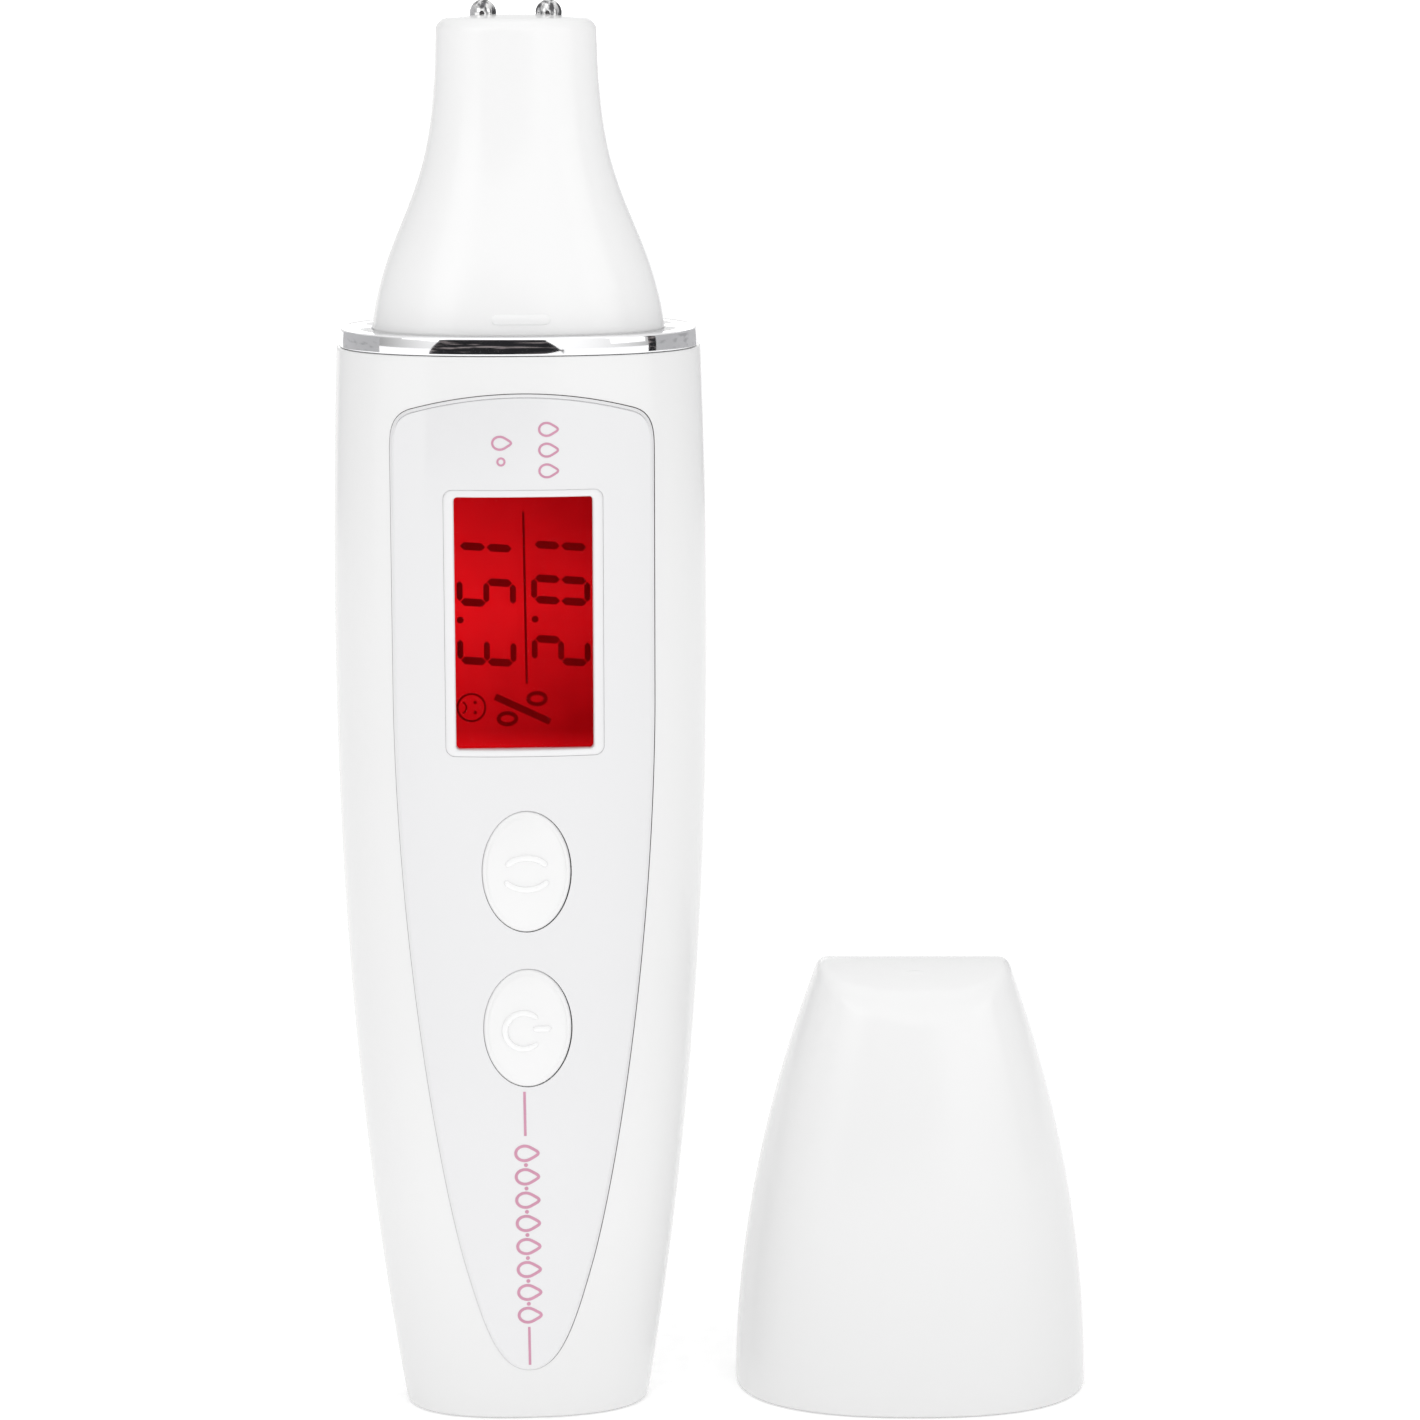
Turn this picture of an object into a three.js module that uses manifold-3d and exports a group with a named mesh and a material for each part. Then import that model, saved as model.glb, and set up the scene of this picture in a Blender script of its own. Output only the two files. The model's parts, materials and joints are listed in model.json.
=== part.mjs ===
// A hand-held skin moisture meter with its pull-off cap standing beside it.
// Millimetres. +Z runs up the meter, -Y is the side with the display, +X is to the right of the display.
// The origin is the middle of the meter's flat base.
import * as THREE from 'three';
import { mergeVertices } from 'three/addons/utils/BufferGeometryUtils.js';
import Module from 'manifold-3d';

const wasm = await Module();
wasm.setup();

// ---- driving dimensions ----------------------------------------------------------------------

const gap = 0.3; // between pieces that touch
const wall = 1.6; // moulded casing wall
const roundness = 2.4; // power of the superellipse that every casing section follows
const ringSegments = 48; // facets around a casing section
const holeSegments = 20; // facets around a small round hole or pin

const body = { top: 108.7, widest: 80, halfWidth: 18.5, halfDepth: 12.8 };
body.baseHalfWidth = 12.4;
body.baseHalfDepth = 7.6;
body.topHalfWidth = 17.88;
const taperPower = 2.15; // how quickly the body narrows towards its base

const ring = { bottom: 108.85, top: 110.5, halfWidth: 17.6, halfDepth: 12.5 };
const head = { bottom: 103.7, top: 140.8, halfWidth: 7.9, halfDepth: 6.0 };
head.flareWidth = 7.1; // what the flare adds to the half width at the ring
head.flareDepth = 4.6;
head.flareMiddle = 120.6;
head.flareLength = 4.3;
head.wall = 1.5;

const contactSpacing = 6.36;
const contactRadius = 1.3;
const contactTip = 142.2;

const panel = { halfWidth: 12.75, top: 105.15, shoulder: 99.6, bottom: 5.5, proud: 0.3, depth: 0.8 };
const display = { middle: 82.9, width: 13.35, height: 24.7, rimWidth: 15.4, rimHeight: 26.1 };
const keys = [
  { name: 'hold', z: 58.3 },
  { name: 'power', z: 42.3 },
];
const key = { halfWidth: 4.35, halfHeight: 6.1, proud: 0.9, travel: 0.5, clearance: 0.15 };

const boardFront = -5.7; // y of the main board's component side
const boardBack = -4.5;
const battery = { radius: 5.2, length: 43.7, nubRadius: 1.9, nubLength: 0.8, x: 5.4, y: 1.9 };
const door = { halfWidth: 11.3, bottom: 12, top: 66, corner: 2.5 };

const cap = { x: 40, y: 2.2, turn: -4, halfWidth: 18.3, halfDepth: 12.7, height: 45, wall: 1.6 };
cap.crownRadius = 10.7; // the top is an arch from front to back

// ---- outlines along the height ---------------------------------------------------------------

const below = (z) => Math.max(0, (body.widest - z) / body.widest) ** taperPower;
const above = (z) => Math.max(0, (z - body.widest) / (body.top - body.widest)) ** 2;
const bodyHalfWidth = (z) =>
  body.halfWidth -
  (body.halfWidth - body.baseHalfWidth) * below(z) -
  (body.halfWidth - body.topHalfWidth) * above(z);
const bodyHalfDepth = (z) => body.halfDepth - (body.halfDepth - body.baseHalfDepth) * below(z);

const flare = (z) => 1 / (1 + Math.exp((z - head.flareMiddle) / head.flareLength));
const headHalfWidth = (z) => head.halfWidth + head.flareWidth * flare(z);
const headHalfDepth = (z) => head.halfDepth + head.flareDepth * flare(z);

const capTaper = (z) => (z / 44) ** 1.95;
const capHalfWidth = (z) => cap.halfWidth - 8.6 * capTaper(z);
const capHalfDepth = (z) => cap.halfDepth - 5.4 * capTaper(z);

// ---- tools: solids from three.js geometry ----------------------------------------------------

function solidFrom(geometry) {
  const bare = geometry.clone();
  bare.deleteAttribute('normal');
  bare.deleteAttribute('uv');
  const merged = mergeVertices(bare, 1e-4);
  const solid = new wasm.Manifold(
    new wasm.Mesh({
      numProp: 3,
      vertProperties: new Float32Array(merged.attributes.position.array),
      triVerts: new Uint32Array(merged.index.array),
    }),
  );
  if (solid.volume() < 0) throw new Error('a solid is inside out');
  return solid;
}

function geometryFrom(solid) {
  const mesh = solid.getMesh();
  const positions = new Float32Array(mesh.numVert * 3);
  for (let i = 0; i < mesh.numVert; i++) {
    positions.set(mesh.vertProperties.subarray(i * mesh.numProp, i * mesh.numProp + 3), i * 3);
  }
  const geometry = new THREE.BufferGeometry();
  geometry.setAttribute('position', new THREE.BufferAttribute(positions, 3));
  geometry.setIndex(new THREE.BufferAttribute(new Uint32Array(mesh.triVerts), 1));
  return geometry;
}

const signedPower = (value, power) => Math.sign(value) * Math.abs(value) ** power;

// A closed stack of superellipse sections: a unit lathe whose rings are stretched to each level.
function loft(levels, segments = ringSegments) {
  const profile = [
    new THREE.Vector2(0, 0),
    ...levels.map((_, i) => new THREE.Vector2(1, i)),
    new THREE.Vector2(0, levels.length - 1),
  ];
  const geometry = new THREE.LatheGeometry(profile, segments);
  const position = geometry.attributes.position;
  for (let i = 0; i < position.count; i++) {
    const level = levels[Math.round(position.getY(i))];
    const x = level.halfWidth * signedPower(position.getX(i), 2 / roundness);
    const y = -level.halfDepth * signedPower(position.getZ(i), 2 / roundness);
    position.setXYZ(i, x, y, level.z);
  }
  return solidFrom(geometry);
}

// Levels of a casing at the heights given, moved outwards by offset (inwards where it is negative).
const levelsOf = (heights, halfWidth, halfDepth, offset = 0) =>
  heights.map((z) => ({ z, halfWidth: halfWidth(z) + offset, halfDepth: halfDepth(z) + offset }));

const bodyHeights = [2, 8, 15, 24, 35, 48, 62, 80, 94];
function bodyLoft(offset, bottom = 0, top = body.top) {
  const heights = [bottom, ...bodyHeights.filter((z) => z > bottom && z < top), top];
  return loft(levelsOf(heights, bodyHalfWidth, bodyHalfDepth, offset));
}

function box(width, depth, height, x, y, z) {
  return solidFrom(new THREE.BoxGeometry(width, depth, height)).translate([x, y, z]);
}

// A box given by its lowest and highest corners.
function block([x0, y0, z0], [x1, y1, z1]) {
  return box(x1 - x0, y1 - y0, z1 - z0, (x0 + x1) / 2, (y0 + y1) / 2, (z0 + z1) / 2);
}

// A round bar along Z or Y, between two places on that axis.
function barZ(radius, x, y, z0, z1, segments = holeSegments) {
  const geometry = new THREE.CylinderGeometry(radius, radius, z1 - z0, segments);
  geometry.rotateX(Math.PI / 2).translate(x, y, (z0 + z1) / 2);
  return solidFrom(geometry);
}
function barY(radius, x, z, y0, y1, segments = holeSegments) {
  const geometry = new THREE.CylinderGeometry(radius, radius, y1 - y0, segments);
  geometry.translate(x, (y0 + y1) / 2, z);
  return solidFrom(geometry);
}

// A flat outline drawn in X and Z, carried along Y from y0 to y1.
function slab(shape, y0, y1, curveSegments = 12) {
  const geometry = new THREE.ExtrudeGeometry(shape, { depth: y1 - y0, bevelEnabled: false, curveSegments });
  geometry.rotateX(Math.PI / 2).translate(0, y1, 0);
  return solidFrom(geometry);
}

function ellipseShape(halfWidth, halfHeight, z) {
  return new THREE.Shape().absellipse(0, z, halfWidth, halfHeight, 0, Math.PI * 2, false, 0);
}

function roundedRectangle(width, height, radius, x, z) {
  const [left, right, bottom, top] = [x - width / 2, x + width / 2, z - height / 2, z + height / 2];
  const shape = new THREE.Shape();
  shape.moveTo(left + radius, bottom);
  shape.lineTo(right - radius, bottom);
  shape.absarc(right - radius, bottom + radius, radius, -Math.PI / 2, 0, false);
  shape.lineTo(right, top - radius);
  shape.absarc(right - radius, top - radius, radius, 0, Math.PI / 2, false);
  shape.lineTo(left + radius, top);
  shape.absarc(left + radius, top - radius, radius, Math.PI / 2, Math.PI, false);
  shape.lineTo(left, bottom + radius);
  shape.absarc(left + radius, bottom + radius, radius, Math.PI, Math.PI * 1.5, false);
  return shape;
}

// A turned piece: profile points are [radius, height] from the axis at the bottom to the axis at the top.
function turned(profile, segments = holeSegments) {
  const points = profile.map(([radius, height]) => new THREE.Vector2(radius, height));
  const geometry = new THREE.LatheGeometry(points, segments);
  geometry.rotateX(Math.PI / 2);
  return solidFrom(geometry);
}

// A round wire through the points given.
function wire(points, radius, steps, sides = 6) {
  const path = new THREE.CatmullRomCurve3(points.map((p) => new THREE.Vector3(...p)));
  const section = new THREE.Shape();
  for (let i = 0; i < sides; i++) {
    const angle = (i / sides) * Math.PI * 2;
    const [x, y] = [radius * Math.cos(angle), radius * Math.sin(angle)];
    if (i === 0) section.moveTo(x, y);
    else section.lineTo(x, y);
  }
  section.closePath();
  return solidFrom(new THREE.ExtrudeGeometry(section, { extrudePath: path, steps, bevelEnabled: false }));
}

// ---- materials -------------------------------------------------------------------------------

const material = (color, roughness, metalness) =>
  new THREE.MeshStandardMaterial({ color, roughness, metalness });
const finishes = {
  whiteGloss: material(0xf2f2f2, 0.25, 0),
  panelGloss: material(0xe9e9eb, 0.12, 0),
  keySatin: material(0xf4f4f4, 0.35, 0),
  chrome: material(0xd8d8dc, 0.06, 1),
  steel: material(0xb9babd, 0.3, 1),
  displayRed: material(0xc40a12, 0.2, 0),
  clear: material(0xf4f4f6, 0.05, 0),
  boardGreen: material(0x1d6b3a, 0.5, 0),
  innerWhite: material(0xdedede, 0.6, 0),
  black: material(0x1a1a1c, 0.5, 0),
  batteryJacket: material(0x3a3d45, 0.35, 0.2),
  copperRed: material(0xa3202a, 0.5, 0),
};

const meter = new THREE.Group();

function add(name, solid, finish, group = meter) {
  const mesh = new THREE.Mesh(geometryFrom(solid), finishes[finish]);
  mesh.name = name;
  group.add(mesh);
  return mesh;
}

// ---- shapes that cut or fill the casing ------------------------------------------------------

// The display panel's outline: an arched top with round shoulders, straight sides, and a tapering round point.
function panelShape(grow = 0) {
  const half = panel.halfWidth + grow;
  const shape = new THREE.Shape();
  shape.moveTo(0, panel.bottom - grow);
  shape.bezierCurveTo(3.2, panel.bottom - grow, 4.6, 10.5, 6.5 + grow, 17.5);
  shape.bezierCurveTo(8.9 + grow, 27, half - 0.25, 50, half, 74);
  shape.lineTo(half, panel.shoulder);
  shape.bezierCurveTo(half, 101.6 + grow, half - 0.25, 103.2 + grow, 10.4, 103.7 + grow);
  shape.quadraticCurveTo(5.4, panel.top + grow, 0, panel.top + grow);
  shape.quadraticCurveTo(-5.4, panel.top + grow, -10.4, 103.7 + grow);
  shape.bezierCurveTo(0.25 - half, 103.2 + grow, -half, 101.6 + grow, -half, panel.shoulder);
  shape.lineTo(-half, 74);
  shape.bezierCurveTo(0.25 - half, 50, -8.9 - grow, 27, -6.5 - grow, 17.5);
  shape.bezierCurveTo(-4.6, 10.5, -3.2, panel.bottom - grow, 0, panel.bottom - grow);
  return shape;
}

const frontFar = -body.halfDepth - 4; // a plane well in front of the casing
const keyHole = (k, grow) =>
  slab(ellipseShape(key.halfWidth + grow, key.halfHeight + grow, k.z), frontFar, -4, 8);
const doorShape = (grow) =>
  roundedRectangle(
    (door.halfWidth + grow) * 2,
    door.top - door.bottom + grow * 2,
    door.corner,
    0,
    (door.top + door.bottom) / 2,
  );

const caseScrews = [
  { name: 'upper_left', x: -12.2, z: 96.8, seat: 6 },
  { name: 'upper_right', x: 12.2, z: 96.8, seat: 6 },
  { name: 'lower_left', x: -6.5, z: 7, seat: 3.2 },
  { name: 'lower_right', x: 6.5, z: 7, seat: 3.2 },
];
const caseScrew = { headRadius: 1.8, headHeight: 1.2, shankRadius: 0.95, shankLength: 7 };
const boardScrews = [
  { name: 'upper_left', x: -10.3, z: 66 },
  { name: 'upper_right', x: 10.3, z: 66 },
  { name: 'lower_left', x: -10.3, z: 33.6 },
  { name: 'lower_right', x: 10.3, z: 33.6 },
];
const boardScrew = { headRadius: 1.5, headHeight: 0.9, shankRadius: 0.75, shankLength: 3.4 };

// ---- casing ----------------------------------------------------------------------------------

const frontHalf = block([-30, -30, -1], [30, -gap / 2, body.top + 1]);
const rearHalf = block([-30, gap / 2, -1], [30, 30, body.top + 1]);
const hollow = bodyLoft(-wall, wall, body.top + 2);
const casing = bodyLoft(0).subtract(hollow);
const interior = bodyLoft(-wall + 0.05, wall - 0.05, body.top); // bosses are trimmed to this, so they join the wall

function makeFrontShell() {
  const bosses = [
    ...caseScrews.map((s) => barY(2.4, s.x, s.z, -14, -gap / 2)),
    ...boardScrews.map((s) => barY(1.9, s.x, s.z, -14, boardFront - gap)),
  ];
  const holes = [
    ...caseScrews.map((s) => barY(1.05, s.x, s.z, s.seat - caseScrew.shankLength - 0.6, 1)),
    ...boardScrews.map((s) => barY(0.85, s.x, s.z, boardBack - boardScrew.shankLength - 0.4, -4)),
  ];
  let shell = casing.intersect(frontHalf);
  for (const boss of bosses) shell = shell.add(boss.intersect(interior));
  for (const hole of holes) shell = shell.subtract(hole);
  // the recess that the display panel lies in
  const recess = bodyLoft(1, -1, body.top).subtract(bodyLoft(-panel.depth - 0.1, -2, body.top + 1));
  shell = shell.subtract(recess.intersect(slab(panelShape(0.12), frontFar, 0)));
  shell = shell.subtract(slab(roundedRectangle(15.8, 28, 0.6, 0, display.middle), frontFar, -7, 3));
  for (const k of keys) shell = shell.subtract(keyHole(k, key.clearance));
  // room for the rear shell's tongue, which carries the middle of the base
  return shell.subtract(block([-6.2, -4.3, -1], [6.2, 0, wall + 0.2]));
}
add('front_shell', makeFrontShell(), 'whiteGloss');

function makeRearShell() {
  let shell = casing.intersect(rearHalf);
  for (const s of caseScrews) shell = shell.add(barY(2.8, s.x, s.z, gap / 2, 13).intersect(interior));
  shell = shell.add(block([-6, -4, 0], [6, 1, wall]));
  for (const s of caseScrews) {
    shell = shell.subtract(barY(1.15, s.x, s.z, -1, 14));
    shell = shell.subtract(barY(2.1, s.x, s.z, s.seat, 14));
  }
  shell = shell.subtract(slab(doorShape(0.25), 3.4, 20, 5));
  // the open notch for the door's latch
  return shell.subtract(block([-3.3, 6, door.top - 1], [3.3, 16, door.top + 1.7]));
}
add('rear_shell', makeRearShell(), 'whiteGloss');

function makeBatteryDoor() {
  const skin = bodyLoft(0, 1).subtract(bodyLoft(-1.5, 0, body.top + 1));
  let lid = skin.intersect(slab(doorShape(0), 3.6, 20, 5));
  const latch = bodyLoft(0, 1).subtract(bodyLoft(-1.2, 0, body.top + 1));
  lid = lid.add(latch.intersect(block([-3, 6, door.top - 2], [3, 16, door.top + 1.4])));
  // a thumb recess and three grip ribs across it
  const dish = solidFrom(new THREE.SphereGeometry(14, 24, 16)).translate([0, bodyHalfDepth(61) + 13.4, 60]);
  lid = lid.subtract(dish);
  for (let i = 0; i < 3; i++) {
    const z = 58.4 + i * 1.6;
    lid = lid.add(block([-2.4, bodyHalfDepth(z) - 1.2, z - 0.25], [2.4, bodyHalfDepth(z) - 0.35, z + 0.25]));
  }
  return lid;
}
add('battery_door', makeBatteryDoor(), 'whiteGloss');

function makeTrimRing() {
  const flat = (halfWidth, halfDepth, bottom, top) =>
    loft([
      { z: bottom, halfWidth, halfDepth },
      { z: top, halfWidth, halfDepth },
    ]);
  let trim = flat(ring.halfWidth, ring.halfDepth, ring.bottom, ring.top);
  trim = trim.subtract(flat(14.85, 10.6, ring.bottom - 1, ring.top + 1));
  // two lugs that hang inside the casing's sides
  for (const side of [-1, 1]) trim = trim.add(box(0.9, 4, 3, side * 15.6, 0, ring.bottom - 1.4));
  return trim;
}
add('trim_ring', makeTrimRing(), 'chrome');

// ---- sensor head -----------------------------------------------------------------------------

const headHeights = [106, 109, 112, 115, 118, 121, 124, 127.5, 131.5, 136];
function headLoft(offset, bottom, top, rounded = 0) {
  const heights = [bottom, ...headHeights.filter((z) => z > bottom && z < top - rounded), top - rounded];
  const levels = levelsOf(heights, headHalfWidth, headHalfDepth, offset);
  if (rounded) {
    for (const turn of [0.35, 0.7, 1]) {
      const inset = rounded * (1 - Math.cos((turn * Math.PI) / 2));
      const z = top - rounded + rounded * Math.sin((turn * Math.PI) / 2);
      levels.push(...levelsOf([z], headHalfWidth, headHalfDepth, offset - inset));
    }
  }
  return loft(levels, 40);
}

function makeHeadShell() {
  const neck = { halfWidth: 14.2, halfDepth: 10.1 };
  const shoulder = ring.top - 0.2;
  let shell = headLoft(0, 106, head.top, 1.2).intersect(
    loft([
      { z: 106, ...neck },
      { z: shoulder, ...neck },
      { z: shoulder + 0.01, halfWidth: 20, halfDepth: 16 },
      { z: 150, halfWidth: 20, halfDepth: 16 },
    ]),
  );
  // the flange inside the casing, under the ring
  shell = shell.add(loft([
    { z: head.bottom, halfWidth: 15.6, halfDepth: 10.7 },
    { z: head.bottom + 1.5, halfWidth: 15.6, halfDepth: 10.7 },
  ], 40));
  shell = shell.add(loft([{ z: head.bottom + 1.4, ...neck }, { z: 107, ...neck }], 40));
  const inside = headLoft(-head.wall, 111, head.top - head.wall);
  shell = shell.subtract(inside);
  shell = shell.subtract(loft([
    { z: head.bottom - 1, halfWidth: 12.8, halfDepth: 8.7 },
    { z: 111.2, halfWidth: 12.8, halfDepth: 8.7 },
  ], 40));
  // a low rib, front and back, that the cap clicks over
  for (const side of [-1, 1]) {
    const rib = block([-2.9, -0.45, -0.35], [2.9, 0.45, 0.35]);
    shell = shell.add(rib.translate([0, side * (headHalfDepth(112) - 0.1), 112]));
  }
  for (const side of [-1, 1]) {
    shell = shell.subtract(barZ(0.95, (side * contactSpacing) / 2, 0, 136, 145, 16));
    shell = shell.subtract(barZ(contactRadius + 0.15, (side * contactSpacing) / 2, 0, head.top - 0.4, 145, 24));
  }
  return shell;
}
add('sensor_head', makeHeadShell(), 'whiteGloss');

// A round-topped contact: a dome on a rivet shank that passes through the head and the probe board.
function makeContact() {
  const seat = head.top - 0.25 - contactTip; // below the tip
  const shank = 0.75;
  const profile = [[0, -9], [shank, -9], [shank, seat], [contactRadius, seat]];
  for (let i = 0; i <= 6; i++) {
    const angle = (i / 6) * (Math.PI / 2);
    profile.push([contactRadius * Math.cos(angle), contactRadius * (Math.sin(angle) - 1)]);
  }
  profile[profile.length - 1][0] = 0;
  return turned(profile, 24);
}
for (const [name, side] of [['contact_left', -1], ['contact_right', 1]]) {
  add(name, makeContact(), 'chrome').position.set((side * contactSpacing) / 2, 0, contactTip);
}

const probeBoardTop = 135.6;
function makeProbeBoard() {
  let plate = block([-5.4, -3.2, probeBoardTop - 1], [5.4, 3.2, probeBoardTop]);
  for (const side of [-1, 1]) plate = plate.subtract(barZ(0.95, (side * contactSpacing) / 2, 0, 130, 140, 16));
  return plate;
}
add('probe_board', makeProbeBoard(), 'boardGreen');

// ---- display panel, window and display -------------------------------------------------------

const rimHole = (grow) =>
  roundedRectangle(display.rimWidth + grow * 2, display.rimHeight + grow * 2, 0.9, 0, display.middle);

function makeFrontPanel() {
  const skin = bodyLoft(panel.proud, -1, body.top).subtract(bodyLoft(-panel.depth, -2, body.top + 1));
  let plate = skin.intersect(slab(panelShape(), frontFar, -1));
  plate = plate.subtract(slab(rimHole(0.1), frontFar, -5, 4));
  for (const k of keys) plate = plate.subtract(keyHole(k, key.clearance));
  return plate;
}
add('front_panel', makeFrontPanel(), 'panelGloss');

function makeDisplayRim() {
  const skin = bodyLoft(0.5, 50).subtract(bodyLoft(-0.85, 49, body.top + 1));
  const opening = roundedRectangle(display.width, display.height, 0.35, 0, display.middle);
  return skin.intersect(slab(rimHole(0), frontFar, -5, 4)).subtract(slab(opening, frontFar, -4, 3));
}
add('display_rim', makeDisplayRim(), 'whiteGloss');

const lensShape = roundedRectangle(display.width - 0.2, display.height - 0.2, 0.3, 0, display.middle);
add('display_window', slab(lensShape, -12.5, -11.7, 3), 'clear');

const glassFront = -10.9;
const glassBack = -9.3;
add('lcd_glass', block([-7.5, glassFront, 69.3], [7.5, glassBack, 96.5]), 'displayRed');
add('backlight', block([-7.4, glassBack + gap, 71.6], [7.4, -6.3, 96.4]), 'innerWhite');
add('contact_strip', block([-7, glassBack + gap, 69.4], [7, boardFront - gap, 71.2]), 'black');

function makeDisplayHolder() {
  const outer = block([-9, -9.7, 67.8], [9, boardFront - gap, 98]);
  return outer.subtract(block([-7.9, -10, 68.9], [7.9, -5, 96.9]));
}
add('display_holder', makeDisplayHolder(), 'innerWhite');

// ---- main board and what is on it ------------------------------------------------------------

function makeMainBoard() {
  let plate = slab(roundedRectangle(24.6, 68, 1, 0, 65.2), boardFront, boardBack, 3);
  for (const s of caseScrews) plate = plate.subtract(barY(3, s.x, s.z, -8, -2));
  for (const s of boardScrews) plate = plate.subtract(barY(0.95, s.x, s.z, -8, -2, 12));
  return plate;
}
add('main_board', makeMainBoard(), 'boardGreen');

const onBack = boardBack + gap;
add('controller_chip', block([-3.5, onBack, 79], [3.5, onBack + 1.4, 86]), 'black');
add('crystal', block([5.5, onBack, 80], [7.3, onBack + 2.4, 85]), 'steel');
add('supply_capacitor', barY(2.5, -7.4, 82.5, onBack, onBack + 5.4), 'black');
add('probe_connector', block([-3.2, onBack, 91], [3.2, onBack + 3.4, 94.4]), 'innerWhite');
add('battery_connector', block([-3.2, onBack, 70], [3.2, onBack + 3.4, 73.4]), 'innerWhite');

const switchFace = -8; // y of a switch body's front
function makeSwitchBody(z) {
  const base = block([-3, switchFace, z - 3], [3, boardFront - gap, z + 3]);
  return base.subtract(barY(1.95, 0, z, switchFace - 1, switchFace + 1.1));
}

// A key: a crowned oval that fills its hole, a flange behind the casing wall, and a post to the switch.
function makeKey(z) {
  const face = -bodyHalfDepth(z) - panel.proud;
  const inner = -bodyHalfDepth(z) + wall;
  const crown = solidFrom(new THREE.SphereGeometry(1, 28, 18));
  const domed = crown.scale([key.halfWidth * 2.1, 4.2, key.halfHeight * 2.1]).translate([0, face + 3.6, z]);
  let cap = slab(ellipseShape(key.halfWidth, key.halfHeight, z), face - 3, inner + 0.8, 9).intersect(
    domed.add(block([-8, face + 2, z - 10], [8, 0, z + 10])),
  );
  cap = cap.add(slab(ellipseShape(key.halfWidth + 0.6, key.halfHeight + 0.6, z), inner + 0.5, inner + 1.1, 8));
  return cap.add(barY(1.2, 0, z, inner + 1, switchFace - 0.9 - gap / 2, 16));
}

for (const k of keys) {
  add(`${k.name}_key`, makeKey(k.z), 'keySatin');
  add(`${k.name}_switch_body`, makeSwitchBody(k.z), 'black');
  add(`${k.name}_switch_plunger`, barY(1.7, 0, k.z, switchFace - 0.9, switchFace + 0.4, 16), 'innerWhite');
}

// ---- batteries, tray and contacts ------------------------------------------------------------

const cells = [
  { name: 'left', x: -battery.x, bottom: 15.2, nubUp: true },
  { name: 'right', x: battery.x, bottom: 14.4, nubUp: false },
];
const tray = { bottom: 11.6, top: 62 };

function makeCell(cell) {
  const { radius, length, nubRadius, nubLength } = battery;
  const profile = [
    [0, 0], [radius - 0.4, 0], [radius, 0.4], [radius, length - 0.4], [radius - 0.4, length],
    [nubRadius, length], [nubRadius, length + nubLength], [0, length + nubLength],
  ];
  const solid = turned(profile, 28);
  return cell.nubUp ? solid : solid.rotate([180, 0, 0]).translate([0, 0, length]);
}
for (const cell of cells) {
  add(`battery_${cell.name}`, makeCell(cell), 'batteryJacket').position.set(cell.x, battery.y, cell.bottom);
}

function makeTray() {
  let frame = block([-11.4, boardBack + 0.2, tray.bottom], [11.4, 3, tray.top]);
  for (const side of [-1, 1]) {
    frame = frame.subtract(barZ(5.5, side * 5.45, battery.y, tray.bottom + 1, tray.top - 1, 28));
    const mouth = block([-5.5, battery.y, tray.bottom + 1], [5.5, 20, tray.top - 1]);
    frame = frame.subtract(mouth.translate([side * 5.45, 0, 0]));
  }
  // room for the plate that joins the two cells across the web between them
  frame = frame.subtract(block([-4, -1.7, tray.top - 2.4], [4, 5.3, tray.top - 1]));
  // room for the board's lower screws
  for (const s of boardScrews) {
    frame = frame.subtract(block([s.x - 2.1, -6, s.z - 2.1], [s.x + 2.1, -2.9, s.z + 2.1]));
  }
  return frame.intersect(bodyLoft(-wall - 0.3, 3, body.top));
}
add('battery_tray', makeTray(), 'innerWhite');

// A conical contact spring, widest at its foot, wound upwards from z = 0.
function makeSpring(height) {
  const turns = 3;
  const steps = 12 * turns;
  const points = [];
  for (let i = 0; i <= steps; i++) {
    const share = i / steps;
    const angle = share * turns * Math.PI * 2;
    const radius = 3.2 - 1.4 * share;
    points.push([radius * Math.cos(angle), radius * Math.sin(angle), 0.25 + share * (height - 0.5)]);
  }
  return wire(points, 0.22, steps);
}
const plateBottom = [tray.bottom + 1 + 0.1, tray.bottom + 1.4];
const plateTop = [tray.top - 1.4, tray.top - 1 - 0.1];
const cellEnd = (cell) => cell.bottom + battery.length;
const springRoom = 0.05;

add('negative_plate', block([-9.4, -1.4, plateBottom[0]], [-1.4, 5, plateBottom[1]]), 'steel');
add('positive_plate', block([1.4, -1.4, plateBottom[0]], [9.4, 5, plateBottom[1]]), 'steel');
add('bridge_plate', block([-9.4, -1.4, plateTop[0]], [9.4, 5, plateTop[1]]), 'steel');

const [leftCell, rightCell] = cells;
const lowerSpringHeight = leftCell.bottom - plateBottom[1] - springRoom * 2;
add('lower_spring', makeSpring(lowerSpringHeight), 'steel').position.set(
  leftCell.x, battery.y, plateBottom[1] + springRoom,
);
const upperSpringHeight = plateTop[0] - cellEnd(rightCell) - springRoom * 2;
const upperSpring = add('upper_spring', makeSpring(upperSpringHeight).rotate([180, 0, 0]), 'steel');
upperSpring.position.set(rightCell.x, battery.y, plateTop[0] - springRoom);

// ---- leads -----------------------------------------------------------------------------------

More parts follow.
